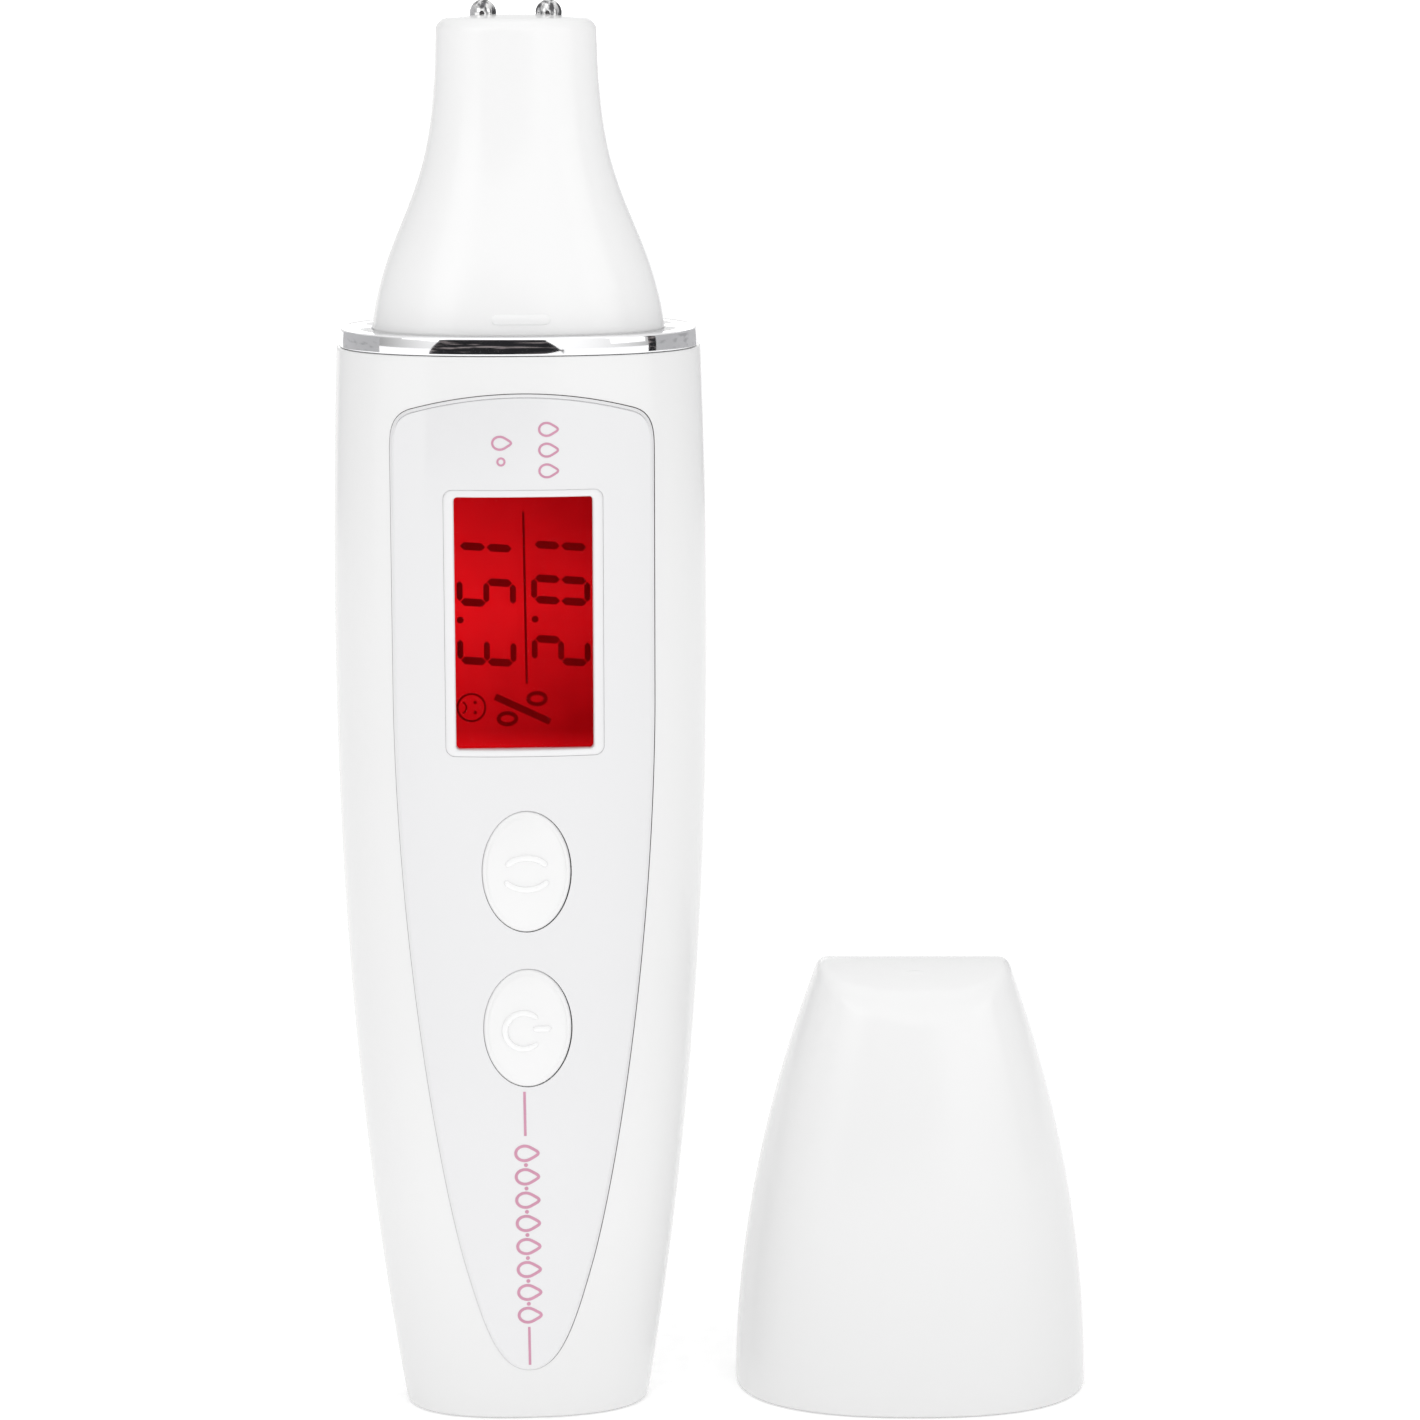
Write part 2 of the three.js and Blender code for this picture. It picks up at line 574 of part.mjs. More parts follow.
const leadRadius = 0.45;
const connectorBack = onBack + 3.4 + gap + leadRadius;
for (const [name, side, finish] of [['left', -1, 'copperRed'], ['right', 1, 'black']]) {
  const probeEnd = [side * 1.4, 1.8, probeBoardTop - 1 - gap];
  const probeLead = [
    probeEnd, [side * 1.5, 2.2, 128], [side * 2.6, 2.6, 112], [side * 2.2, 2.4, 100],
    [side * 1.6, connectorBack + 0.8, 94.6], [side * 1.6, connectorBack, 92],
  ];
  add(`probe_lead_${name}`, wire(probeLead, leadRadius, 18), finish);
  const batteryLead = [
    [side * 5.4, 3.4, tray.top + gap + leadRadius], [side * 5.2, 3.2, 65.5], [side * 3, 2.2, 68.6],
    [side * 1.6, connectorBack + 0.3, 71], [side * 1.6, connectorBack, 72.6],
  ];
  add(`battery_lead_${name}`, wire(batteryLead, leadRadius, 14), finish);
}

// ---- screws ----------------------------------------------------------------------------------

// A pan-head screw along Y with a cross recess. Its seat is y = 0 and its head is on the +Y side.
function makeScrew({ headRadius, headHeight, shankRadius, shankLength }) {
  const profile = [
    [0, -shankLength], [shankRadius * 0.5, -shankLength], [shankRadius, -shankLength + shankRadius],
    [shankRadius, 0], [headRadius, 0], [headRadius, headHeight * 0.45],
    [headRadius * 0.72, headHeight * 0.92], [headRadius * 0.3, headHeight], [0, headHeight],
  ];
  let screw = turned(profile, 18).rotate([-90, 0, 0]);
  const [arm, half, deep] = [headRadius * 0.58, headRadius * 0.13, headHeight * 0.45];
  screw = screw.subtract(block([-arm, deep, -half], [arm, headHeight + 1, half]));
  return screw.subtract(block([-half, deep, -arm], [half, headHeight + 1, arm]));
}
for (const s of caseScrews) {
  add(`case_screw_${s.name}`, makeScrew(caseScrew), 'steel').position.set(s.x, s.seat + 0.1, s.z);
}
for (const s of boardScrews) {
  add(`board_screw_${s.name}`, makeScrew(boardScrew), 'steel').position.set(s.x, boardBack + 0.1, s.z);
}

// ---- cap -------------------------------------------------------------------------------------

// The cap's height is cut by an arch that runs from front to back, so its crest is a straight line along X.
function archedBlock(radius, crest) {
  const shape = new THREE.Shape();
  shape.moveTo(-20, -40);
  shape.lineTo(20, -40);
  shape.lineTo(20, crest - radius);
  shape.lineTo(radius, crest - radius);
  shape.absarc(0, crest - radius, radius, 0, Math.PI, false);
  shape.lineTo(-20, crest - radius);
  const geometry = new THREE.ExtrudeGeometry(shape, { depth: 60, bevelEnabled: false, curveSegments: 24 });
  geometry.rotateX(Math.PI / 2).translate(0, 30, 0).rotateZ(Math.PI / 2);
  return solidFrom(geometry);
}

function makeCap() {
  const heights = [0, 5, 10, 15, 20, 25, 30, 35, 40, cap.height + 1];
  const outer = loft(levelsOf(heights, capHalfWidth, capHalfDepth)).intersect(
    archedBlock(cap.crownRadius, cap.height),
  );
  const innerHeights = [-1, ...heights.slice(1)];
  const inner = loft(
    innerHeights.map((z) => ({
      z,
      halfWidth: capHalfWidth(Math.max(0, z)) - cap.wall,
      halfDepth: capHalfDepth(Math.max(0, z)) - cap.wall,
    })),
  ).intersect(archedBlock(cap.crownRadius - cap.wall, cap.height - cap.wall));
  return outer.subtract(inner);
}
const capMesh = add('cap_shell', makeCap(), 'whiteGloss');
capMesh.position.set(cap.x, cap.y, 0);
capMesh.rotation.z = THREE.MathUtils.degToRad(cap.turn);

export default meter;
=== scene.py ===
# %% [markdown]
# # A skin moisture meter with its cap
#
# The meter is an upright plastic casing with a bottle-necked sensor head, two plated contacts, a red
# display turned on its side and two oval keys. Its cap stands beside it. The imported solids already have
# the right sizes and joints, but they are faceted. This lesson lays fine surfaces over the ones that are
# seen, and gives a finish to every piece. Everything here is in the same frame as those solids: +Z runs
# up the meter, -Y is the display side, and the origin is the middle of the meter's base.

import json
import math

import bmesh
import bpy
import numpy as np
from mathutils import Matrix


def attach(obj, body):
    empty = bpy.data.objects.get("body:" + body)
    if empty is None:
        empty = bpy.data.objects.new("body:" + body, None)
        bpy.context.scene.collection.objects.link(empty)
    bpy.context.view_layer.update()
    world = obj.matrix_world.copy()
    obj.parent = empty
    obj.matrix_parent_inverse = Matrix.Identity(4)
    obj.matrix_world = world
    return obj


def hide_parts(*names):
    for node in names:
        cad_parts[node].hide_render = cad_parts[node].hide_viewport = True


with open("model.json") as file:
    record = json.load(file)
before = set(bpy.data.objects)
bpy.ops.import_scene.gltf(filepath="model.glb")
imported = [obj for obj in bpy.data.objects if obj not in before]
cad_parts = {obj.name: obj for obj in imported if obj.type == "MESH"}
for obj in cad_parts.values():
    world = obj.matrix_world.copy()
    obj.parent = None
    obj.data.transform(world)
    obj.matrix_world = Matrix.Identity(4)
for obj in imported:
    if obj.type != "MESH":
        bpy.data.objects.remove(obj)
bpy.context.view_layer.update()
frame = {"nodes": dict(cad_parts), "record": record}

# %% [markdown]
# ## The outline that everything follows
#
# Every moulding is a stack of rounded-rectangle sections. A superellipse draws one with a single
# formula, |x/a|^n + |y/b|^n = 1, so the casing, the head and the cap only need to say how their half
# width a and half depth b change with height. All sizes are in millimetres until a mesh is made.

# %% Sizes along the height
ROUNDNESS = 2.4
WALL = 1.6
BODY_TOP = 108.7
HEAD_TOP = 140.8
CAP_PLACE = (40.0, 2.2, math.radians(-4))
CAP_HEIGHT = 45.0
ARCH_RADIUS = 10.7


def body_half_width(z):
    """18.5 at its widest, z = 80. Below, it narrows to 12.4 as a power of the distance; above, to 17.88."""
    below = np.clip((80 - z) / 80, 0, None) ** 2.15
    above = np.clip((z - 80) / (BODY_TOP - 80), 0, None) ** 2
    return 18.5 - 6.1 * below - 0.62 * above


def body_half_depth(z):
    """12.8 down to z = 80, then narrowing to 7.6 at the base by the same power."""
    return 12.8 - 5.2 * np.clip((80 - z) / 80, 0, None) ** 2.15


def head_flare(z):
    """A smooth step from 1 at the ring to 0 at the contacts, halfway at z = 120.6."""
    return 1 / (1 + np.exp((z - 120.6) / 4.3))


def cap_taper(z):
    """0 at the cap's rim, 1 at z = 44."""
    return (np.clip(z, 0, None) / 44) ** 1.95


print("widest half section:", body_half_width(80.0), "x", body_half_depth(80.0))

# %% Sections and points on the casing


def points_of(*coordinates):
    """Coordinates, each an array or one number, put together as an array of points."""
    return np.stack(np.broadcast_arrays(*coordinates), axis=-1)


def signed_power(value, power):
    """The power of the size, with the sign kept."""
    return np.sign(value) * np.abs(value) ** power


def full_turn(count):
    """`count` angles at equal steps round a whole turn."""
    return np.arange(count) / count * 2 * np.pi


def section(angle, half_width, half_depth):
    """x = a sin^(2/n), y = -b cos^(2/n), signs kept. Angle 0 is the front, and it turns to +X."""
    x = half_width * signed_power(np.sin(angle), 2 / ROUNDNESS)
    y = -half_depth * signed_power(np.cos(angle), 2 / ROUNDNESS)
    return x, y


def level_loop(half_width, half_depth, z, count=240):
    """A superellipse loop at one height."""
    return points_of(*section(full_turn(count), half_width, half_depth), z)


def section_depth(x, half_width, half_depth):
    """The same superellipse as a depth at x, and 0 beyond its sides."""
    return half_depth * np.clip(1 - np.abs(x / half_width) ** ROUNDNESS, 0, 1) ** (1 / ROUNDNESS)


def casing_depth(x, z, out=0.0):
    """How far the casing's front or back stands from y = 0 at x, z, with out added to both half sizes."""
    return section_depth(x, body_half_width(z) + out, body_half_depth(z) + out)


# %% [markdown]
# ## From rows of points to a mesh
#
# Nearly every piece is a skin over a stack of closed loops, so one function is enough to join them: it
# makes a four-sided face between each pair of neighbours and, at an open end, a fan to a middle point.
# Where loops shrink onto a line, the doubled points are merged, so the skin is closed and has no pinholes.

# %% Skins over loops


def skin_faces(rows, count, ring=False):
    """Face corners between rows of `count` points. `ring` joins the last row to the first as well."""
    index = np.arange(rows * count).reshape(rows, count)
    upper = np.roll(index, -1, axis=0) if ring else index[1:]
    lower = index if ring else index[:-1]
    corners = (lower, np.roll(lower, -1, axis=1), np.roll(upper, -1, axis=1), upper)
    return np.stack(corners, axis=-1).reshape(-1, 4).tolist()


def skin(loops, ring=False, fans=True):
    """Points and faces of a skin over loops[row, point, xyz]. Its ends get fans, unless it is a ring, or
    unless its end loops shrink onto a line, where their own doubled points close it."""
    loops = np.asarray(loops, dtype=float)
    rows, count = loops.shape[:2]
    points = loops.reshape(-1, 3)
    faces = skin_faces(rows, count, ring)
    if fans and not ring:
        ends = np.stack([loops[0].mean(axis=0), loops[-1].mean(axis=0)])
        points = np.concatenate([points, ends])
        first, last = rows * count, rows * count + 1
        around = np.arange(count)
        after = np.roll(around, -1)
        start = np.stack([np.full(count, first), after, around], axis=-1)
        stop = np.stack([np.full(count, last), around, after], axis=-1) + [0, *[(rows - 1) * count] * 2]
        faces += start.tolist() + stop.tolist()
    return points, faces


def joined(parts):
    """Several (points, faces) as one."""
    points, faces, base = [], [], 0
    for part_points, part_faces in parts:
        points.append(np.asarray(part_points))
        faces += [[corner + base for corner in face] for face in part_faces]
        base += len(part_points)
    return np.concatenate(points), faces


def shape(name, part, turn_out=False):
    """A mesh object from (points, faces) in millimetres, its doubled points merged and its faces smooth."""
    points, faces = part
    mesh = bpy.data.meshes.new(name)
    mesh.from_pydata((np.asarray(points) * 0.001).tolist(), [], faces)
    work = bmesh.new()
    work.from_mesh(mesh)
    bmesh.ops.remove_doubles(work, verts=work.verts, dist=1e-7)
    if turn_out:
        bmesh.ops.recalc_face_normals(work, faces=work.faces)
    work.to_mesh(mesh)
    work.free()
    piece = bpy.data.objects.new(name, mesh)
    bpy.context.scene.collection.objects.link(piece)
    return piece


def finished(piece, finish, body, stands_for=(), sharp=32):
    """Gives a piece its finish, smooth shading with creases above `sharp` degrees, and its body."""
    mesh = piece.data
    mesh.materials.clear()
    mesh.materials.append(finish)
    mesh.polygons.foreach_set("material_index", [0] * len(mesh.polygons))
    mesh.shade_smooth()
    mesh.set_sharp_from_angle(angle=math.radians(sharp))
    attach(piece, body)
    if stands_for:
        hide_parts(*stands_for)
    print(f"{piece.name}: {len(mesh.polygons)} faces")
    return piece


# %% [markdown]
# ## Outlines seen from the front
#
# The panel, the display opening, the keys and the battery door are drawn as outlines in x and z, going
# anticlockwise as seen from the front. A prism of an outline makes a cutter, and a Boolean modifier takes
# it out of a moulding, as the mould's own core would. The modifier's result is kept as a plain mesh.

# %% Curves and cutters


def bezier(*points, count=40):
    """A Bezier curve of degree 2 or 3 through its first and last point: the Bernstein sum of its points."""
    t = np.linspace(0, 1, count)[:, None]
    degree = len(points) - 1
    weights = [math.comb(degree, i) * t**i * (1 - t) ** (degree - i) for i in range(degree + 1)]
    return sum(w * np.array(p, dtype=float) for w, p in zip(weights, points))


def evenly(points, count):
    """The same open line with `count` points at equal steps along its length."""
    steps = np.linalg.norm(np.diff(points, axis=0), axis=1)
    along = np.concatenate([[0], np.cumsum(steps)])
    wanted = np.linspace(0, along[-1], count)
    return np.stack([np.interp(wanted, along, points[:, k]) for k in range(2)], axis=-1)


def sideways(tangent):
    """Unit vectors a quarter turn to the left of the tangents."""
    unit = tangent / np.linalg.norm(tangent, axis=1, keepdims=True)
    return points_of(-unit[:, 1], unit[:, 0])


def inset(outline, distance):
    """The closed outline moved inwards along its own normals."""
    return outline + sideways(np.roll(outline, -1, axis=0) - np.roll(outline, 1, axis=0)) * distance


def ellipse(half_width, half_height, middle, count=96):
    """x = a cos t, z = middle + b sin t."""
    t = full_turn(count)
    return points_of(half_width * np.cos(t), middle + half_height * np.sin(t))


def rounded_rectangle(width, height, radius, middle, side=24, corner=10):
    """Straight sides and quarter circles, with the same number of points whatever the size."""
    turn = np.linspace(0, np.pi / 2, corner)
    pieces = []
    for k, (sx, sz) in enumerate([(1, -1), (1, 1), (-1, 1), (-1, -1)]):
        centre = np.array([sx * (width / 2 - radius), middle + sz * (height / 2 - radius)])
        angle = turn + (k - 1) * np.pi / 2
        pieces.append(centre + radius * points_of(np.cos(angle), np.sin(angle)))
    outline = []
    for k, quarter in enumerate(pieces):
        following = pieces[(k + 1) % 4][0]
        share = np.linspace(0, 1, side)[1:-1, None]
        outline += [quarter, quarter[-1] + (following - quarter[-1]) * share]
    return np.concatenate(outline)


def upright(outline, y):
    """An outline in x, z stood at depth y, which may be one number or one for each point."""
    return points_of(outline[:, 0], y, outline[:, 1])


def prism(outline, far, near):
    """A cutter: the outline carried along Y from `far` to the smaller y, `near`."""
    return shape("cutter", skin([upright(outline, far), upright(outline, near)]))


def carve(piece, cutters, operation="DIFFERENCE"):
    """Takes the cutters out of the piece, or keeps what they share, and removes them."""
    for cutter in cutters:
        cut = piece.modifiers.new("cut", "BOOLEAN")
        cut.operation = operation
        cut.solver = "MANIFOLD"
        cut.object = cutter
    view = bpy.context.evaluated_depsgraph_get()
    result = bpy.data.meshes.new_from_object(piece.evaluated_get(view))
    piece.modifiers.clear()
    piece.data = result
    for cutter in cutters:
        bpy.data.objects.remove(cutter)


def mirrored(right):
    """A closed outline from its right half, which runs from its lowest to its highest point at x = 0."""
    left = right[-2:0:-1] * [-1, 1]
    return np.concatenate([right, left])


panel_right = np.concatenate(
    [
        bezier((0, 5.5), (3.2, 5.5), (4.6, 10.5), (6.5, 17.5)),
        bezier((6.5, 17.5), (8.9, 27), (12.5, 50), (12.75, 74))[1:],
        bezier((12.75, 99.6), (12.75, 101.6), (12.5, 103.2), (10.4, 103.7)),
        bezier((10.4, 103.7), (5.4, 105.15), (0, 105.15))[1:],
    ]
)
panel_outline = mirrored(evenly(panel_right, 300))
print("panel outline:", len(panel_outline), "points, box", panel_outline.min(0), panel_outline.max(0))

# %% [markdown]
# ## Shader arithmetic
#
# A finish here is a short sum, such as "roughness is 0.2 plus a little noise". Wrapping a socket in a
# class that knows +, -, * and / lets that sum be written as it is said, and each operator adds the Math
# node it needs. Colours stay out of it, because a Math node would turn them grey: they are mixed.

# %% Wires and finishes


class Wire:
    """An output socket that can be used in ordinary arithmetic."""

    def __init__(self, finish, socket):
        self.finish, self.socket = finish, socket

    def math(self, operation, first, second=None):
        inputs = {0: first} if second is None else {0: first, 1: second}
        return self.finish.add("ShaderNodeMath", {"operation": operation}, inputs)

    def __add__(self, other):
        return self.math("ADD", self, other)

    def __sub__(self, other):
        return self.math("SUBTRACT", self, other)

    def __rsub__(self, other):
        return self.math("SUBTRACT", other, self)

    def __mul__(self, other):
        return self.math("MULTIPLY", self, other)

    def __truediv__(self, other):
        return self.math("DIVIDE", self, other)

    def __abs__(self):
        return self.math("ABSOLUTE", self)

    def clipped(self):
        return self.finish.add("ShaderNodeClamp", {}, {"Value": self})

    __radd__ = __add__
    __rmul__ = __mul__


class Finish:
    """A material whose nodes are added one call at a time."""

    def __init__(self, name, **shader_values):
        self.material = bpy.data.materials.new(name)
        self.material.use_nodes = True
        self.nodes = self.material.node_tree.nodes
        self.shader = self.nodes["Principled BSDF"]
        self.feed(self.shader, shader_values)

    def feed(self, node, inputs):
        for key, value in inputs.items():
            socket = node.inputs[key.replace("_", " ") if isinstance(key, str) else key]
            if isinstance(value, Wire):
                self.material.node_tree.links.new(value.socket, socket)
            else:
                socket.default_value = value

    def add(self, kind, settings=None, inputs=None, output=0):
        node = self.nodes.new(kind)
        for key, value in (settings or {}).items():
            if key == "stops":
                ramp = node.color_ramp.elements
                while len(ramp) < len(value):
                    ramp.new(0.5)
                for element, (position, color) in zip(ramp, value):
                    element.position, element.color = position, color
            else:
                setattr(node, key, value)
        self.feed(node, inputs or {})
        return Wire(self, node.outputs[output])

    def place(self):
        return self.add("ShaderNodeTexCoord", output="Object")

    def along(self, axis):
        return self.add("ShaderNodeSeparateXYZ", {}, {"Vector": self.place()}, output=axis)

    def noise(self, scale, detail=3.0, stretch=(1, 1, 1)):
        """Noise from 0 to 1, `scale` per metre, drawn out along the axes whose stretch is small."""
        spread = self.add("ShaderNodeMapping", {}, {"Vector": self.place(), "Scale": stretch})
        return self.add("ShaderNodeTexNoise", {}, {"Vector": spread, "Scale": scale, "Detail": detail})

    def blend(self, factor, first, second):
        inputs = {"Factor": factor, 6: first, 7: second}
        return self.add("ShaderNodeMix", {"data_type": "RGBA"}, inputs, output=2)

    def bump(self, height, strength, distance=0.0001):
        """Raises the surface by height times distance metres, in the shading only."""
        inputs = {"Height": height, "Strength": strength, "Distance": distance}
        return self.add("ShaderNodeBump", {}, inputs, output="Normal")

    def paint(self, **inputs):
        self.feed(self.shader, inputs)
        return self.material


def rgb(red, green, blue):
    """A colour as a screen shows it, 0 to 255, turned into the linear values that a shader takes."""
    share = np.array([red, green, blue]) / 255
    linear = np.where(share <= 0.04045, share / 12.92, ((share + 0.055) / 1.055) ** 2.4)
    return (*linear.tolist(), 1.0)


def grey(level, tint=0):
    """A neutral colour of one level from 0 to 255, with `tint` more of blue."""
    return rgb(level, level, level + tint)


# %% [markdown]
# ## Plastics
#
# The mouldings are glossy white plastics, each a shade apart from its neighbour, except that the key
# symbols are whiter as a painted highlight. They are polished, but never perfectly: the gloss drifts a
# little from place to place, there is a faint waviness left by shrinkage, and the white is not quite even.
# Noise gives all three, kept weak so that it barely shows. The casing and the cap are painted darker
# towards their bases, with a grey line where they stand: painted shade.

# %% White mouldings


def moulded(name, level, roughness, tint=0, gloss_drift=0.05, wave=0.05, foot=None, rise=30):
    """A white plastic that wanders by 3 levels, with drifting gloss and a faint waviness.
    Where a part stands on the table, shade is painted into its colour: it deepens to the level `foot`
    over its lowest `rise` mm, and a painted grey shade line runs round the edge it stands on, faded out 0.26
    mm up."""
    plastic = Finish(name, IOR=1.49, Coat_Roughness=0.06)
    cloud = plastic.noise(45, 2)
    fine = plastic.noise(900, 3)
    ripple = plastic.noise(160, 2)
    white = plastic.blend(cloud, grey(level, tint), grey(level - 3, tint))
    # Painted shade: darker towards the base, and a grey line where the part meets the table.
    if foot:
        height = plastic.along("Z") * 1000
        white = plastic.blend((1 - height / rise).clipped(), white, grey(foot))
        white = plastic.blend((1.3 - height / 0.2).clipped(), white, grey(188))
    return plastic.paint(
        Base_Color=white,
        Roughness=roughness + gloss_drift * (cloud - 0.5) + 0.04 * (fine - 0.5),
        Normal=plastic.bump(ripple + 0.06 * fine, wave, 0.00012),
    )


# The casing and the cap get painted shade towards their bases.
casing_white = moulded("casing_white", 237, 0.2, foot=229, rise=22)
cap_white = moulded("cap_white", 245, 0.2, foot=227, rise=56)
head_white = moulded("head_white", 243, 0.2)
panel_white = moulded("panel_white", 231, 0.1, tint=1, gloss_drift=0.03, wave=0.02)
rim_white = moulded("rim_white", 236, 0.2, tint=1)
key_white = moulded("key_white", 240, 0.3)
# The symbols are whiter than the keys: a painted highlight on the raised strokes.
symbol_highlight_white = moulded("symbol_highlight_white", 246, 0.2)
print("white mouldings made")

# %% [markdown]
# ## Plated metal
#
# The ring and the contacts are plated to a mirror. A mirror has almost no colour of its own, so what
# matters is a very low roughness, broken here and there by faint smears. The contacts also have darker
# patches painted into their colour, a painted reflection of their dark surroundings.

# %% Chrome


def plated(name, colour, roughness, smear, reflected_dark=None):
    """Mirror plating whose roughness rises a little where noise leaves a smear. Its last argument is a
    darker colour painted in patches drawn out along Z: a painted reflection of the dark surroundings."""
    metal = Finish(name, Metallic=1.0, Base_Color=colour)
    smears = metal.noise(220, 4, (1, 1, 3))
    if reflected_dark:
        # Painted reflection: darker patches mixed into the plating's colour.
        reflection_patches = ((metal.noise(1500, 2, (1, 1, 0.5)) - 0.43) * 7).clipped()
        metal.paint(Base_Color=metal.blend(reflection_patches, colour, reflected_dark))
    return metal.paint(Roughness=roughness + smear * smears)


ring_chrome = plated("ring_chrome", grey(250, 1), 0.02, 0.06)
# The contacts' darker colour is a painted reflection.
contact_chrome = plated("contact_chrome", grey(246), 0.06, 0.12, reflected_dark=grey(92, 2))

# %% [markdown]
# ## The display
#
# A liquid-crystal display is a flat sheet lit from behind. This one glows red, brightest along the
# left and the lower edge and deeper towards the right. The glow is an emission whose colour is mixed from
# bright to deep by a sum of distances. The dark figures are thin shapes just in front of it.

# %% Red backlight and clear window


def glowing_display():
    """Red emission, bright along the left and lower edges, deeper to the right and away from z = 84.5."""
    film = Finish("display_film", Roughness=0.5, Emission_Strength=0.95, Specular_IOR_Level=0.0)
    across = film.along("X") * 1000
    up = film.along("Z") * 1000 - 84
    lower_edge = ((-11.9 - up) / 1.6).clipped()
    away = (across + 6.7) / 30 + abs(up - 0.5) / 20 - 0.5 * lower_edge
    uneven = film.noise(350, 4)
    fade = (away + 0.25 * (uneven - 0.5)).clipped()
    glow = film.blend(fade, rgb(224, 14, 22), rgb(146, 1, 5))
    return film.paint(Base_Color=film.blend(fade, rgb(34, 2, 3), rgb(22, 1, 2)), Emission_Color=glow)


def plain(name, colour, **values):
    """A finish with one colour, slightly mottled so that it isn't dead flat."""
    finish = Finish(name, **values)
    darker = (*[0.8 * v for v in colour[:3]], 1.0)
    return finish.paint(Base_Color=finish.blend(finish.noise(700, 3), colour, darker))


display_film = glowing_display()
figure_ink = plain("figure_ink", rgb(118, 2, 5), Roughness=0.6, Specular_IOR_Level=0.0)
window_clear = Finish(
    "window_clear", Roughness=0.02, IOR=1.05, Transmission_Weight=1.0, Base_Color=(1, 1, 1, 1)
).material
print("display finishes made")

# %% [markdown]
# ## The casing
#
# The casing is one tapering tube in two halves. One stack of loops goes from the middle of the base, round
# the base's edge, up the wall, over the top edge and down the inside, so the wall has its real
# thickness. A box then keeps one half, and a prism of the panel's outline opens the front. A lip runs
# behind the seam, as in most moulded casings, so that no light shows between the halves.

# %% The tube


def casing_rows():
    """Rows of (height, inset, scale): the base, its edge radius, the wall, the top edge, the inside."""
    edge, lip = 0.55, 0.22
    turn = np.linspace(0, np.pi / 2, 7)
    base = [(0, edge, s) for s in (0.02, 0.3, 0.6, 0.85)]
    corner = [(edge * (1 - math.cos(t)), edge * (1 - math.sin(t)), 1) for t in turn]
    wall = [(z, 0, 1) for z in np.arange(1.4, BODY_TOP - 0.5, 1.1)]
    top = [(BODY_TOP - lip + lip * math.sin(t), lip * (1 - math.cos(t)), 1) for t in turn]
    inside = [(z, WALL, 1) for z in np.linspace(BODY_TOP, WALL, 40)]
    floor = [(WALL, WALL, s) for s in (0.8, 0.4, 0.02)]
    return base + corner + wall + top + inside + floor


def casing_tube(count=240):
    """Superellipse loops at each of those rows."""
    rows = np.array(casing_rows())[:, :, None]
    height, inwards, scale = rows[:, 0], rows[:, 1], rows[:, 2]
    angle = full_turn(count)[None, :]
    a = (body_half_width(height) - inwards) * scale
    b = (body_half_depth(height) - inwards) * scale
    return skin(points_of(*section(angle, a, b), height))


def block(low, high):
    """A box cutter between two corners."""
    (x0, y0, z0), (x1, y1, z1) = low, high
    square = np.array([(x0, z0), (x1, z0), (x1, z1), (x0, z1)], dtype=float)
    return prism(square, y1, y0)


SEAM, PANEL_GAP = 0.05, 0.05
PANEL_GAP_SHIFT = [0.025, 0.03]
front_shell = shape("front_casing", casing_tube())
rear_half = block((-30, -SEAM, -5), (30, 30, 120))
panel_hole = prism(inset(panel_outline, -PANEL_GAP) + PANEL_GAP_SHIFT, -3, -30)
carve(front_shell, [rear_half, panel_hole])
finished(front_shell, casing_white, "meter", ["front_shell"])

# %% The lip inside the seam
LIP_IN, LIP_OUT, LIP_REACH = 1.3, 0.7, 0.9


def seam_path(inwards):
    """The casing's outline at y = 0, drawn in: down the right side, a Bezier corner, and along the base."""
    height = np.linspace(BODY_TOP - 0.4, 3, 90)
    side = points_of(body_half_width(height) - inwards, height)
    corner = bezier(side[-1], (side[-1, 0] - 0.1, inwards), (side[-1, 0] - 2.5, inwards), count=12)[1:]
    right = np.concatenate([side, corner])
    return np.concatenate([right, right[::-1] * [-1, 1]])


corners = [(LIP_OUT, -LIP_REACH), (LIP_OUT, LIP_REACH), (LIP_IN, LIP_REACH), (LIP_IN, -LIP_REACH)]
lip_loops = np.stack([upright(seam_path(inwards), y) for inwards, y in corners], axis=1)
lip = shape("seam_lip", skin(lip_loops), turn_out=True)
finished(lip, casing_white, "meter")

# %% [markdown]
# ## The battery side
#
# The rear half has an opening for the battery door, a notch for the door's latch, and four sunk screw
# holes. Each screw sits at the bottom of a sleeve. A sleeve's outer end follows the inside of the casing,
# which slopes, so its rim is worked out from the casing's own formula.

# %% Rear half with its openings
DOOR_MIDDLE, DOOR_WIDTH, DOOR_HEIGHT = 39.0, 22.6, 54.0
SCREWS = [(-12.2, 96.8, 6.0), (12.2, 96.8, 6.0), (-6.5, 7.0, 3.2), (6.5, 7.0, 3.2)]
SLEEVE = 2.1


def door_outline(grow):
    """A rounded rectangle with a short latch tongue on its top edge."""
    top = DOOR_MIDDLE + DOOR_HEIGHT / 2 + grow
    half = 3 + grow
    outline = rounded_rectangle(DOOR_WIDTH + 2 * grow, DOOR_HEIGHT + 2 * grow, 2.5 + grow, DOOR_MIDDLE)
    tongue = np.array([(half, top), (half, top + 1.4), (-half, top + 1.4), (-half, top)])
    on_top = np.abs(outline[:, 1] - top) < 1e-6
    outline = outline[~(on_top & (np.abs(outline[:, 0]) < half))]
    at = np.flatnonzero((outline[:, 1] > top - 1e-6) & (outline[:, 0] > 0))[-1] + 1
    return np.concatenate([outline[:at], tongue, outline[at:]])


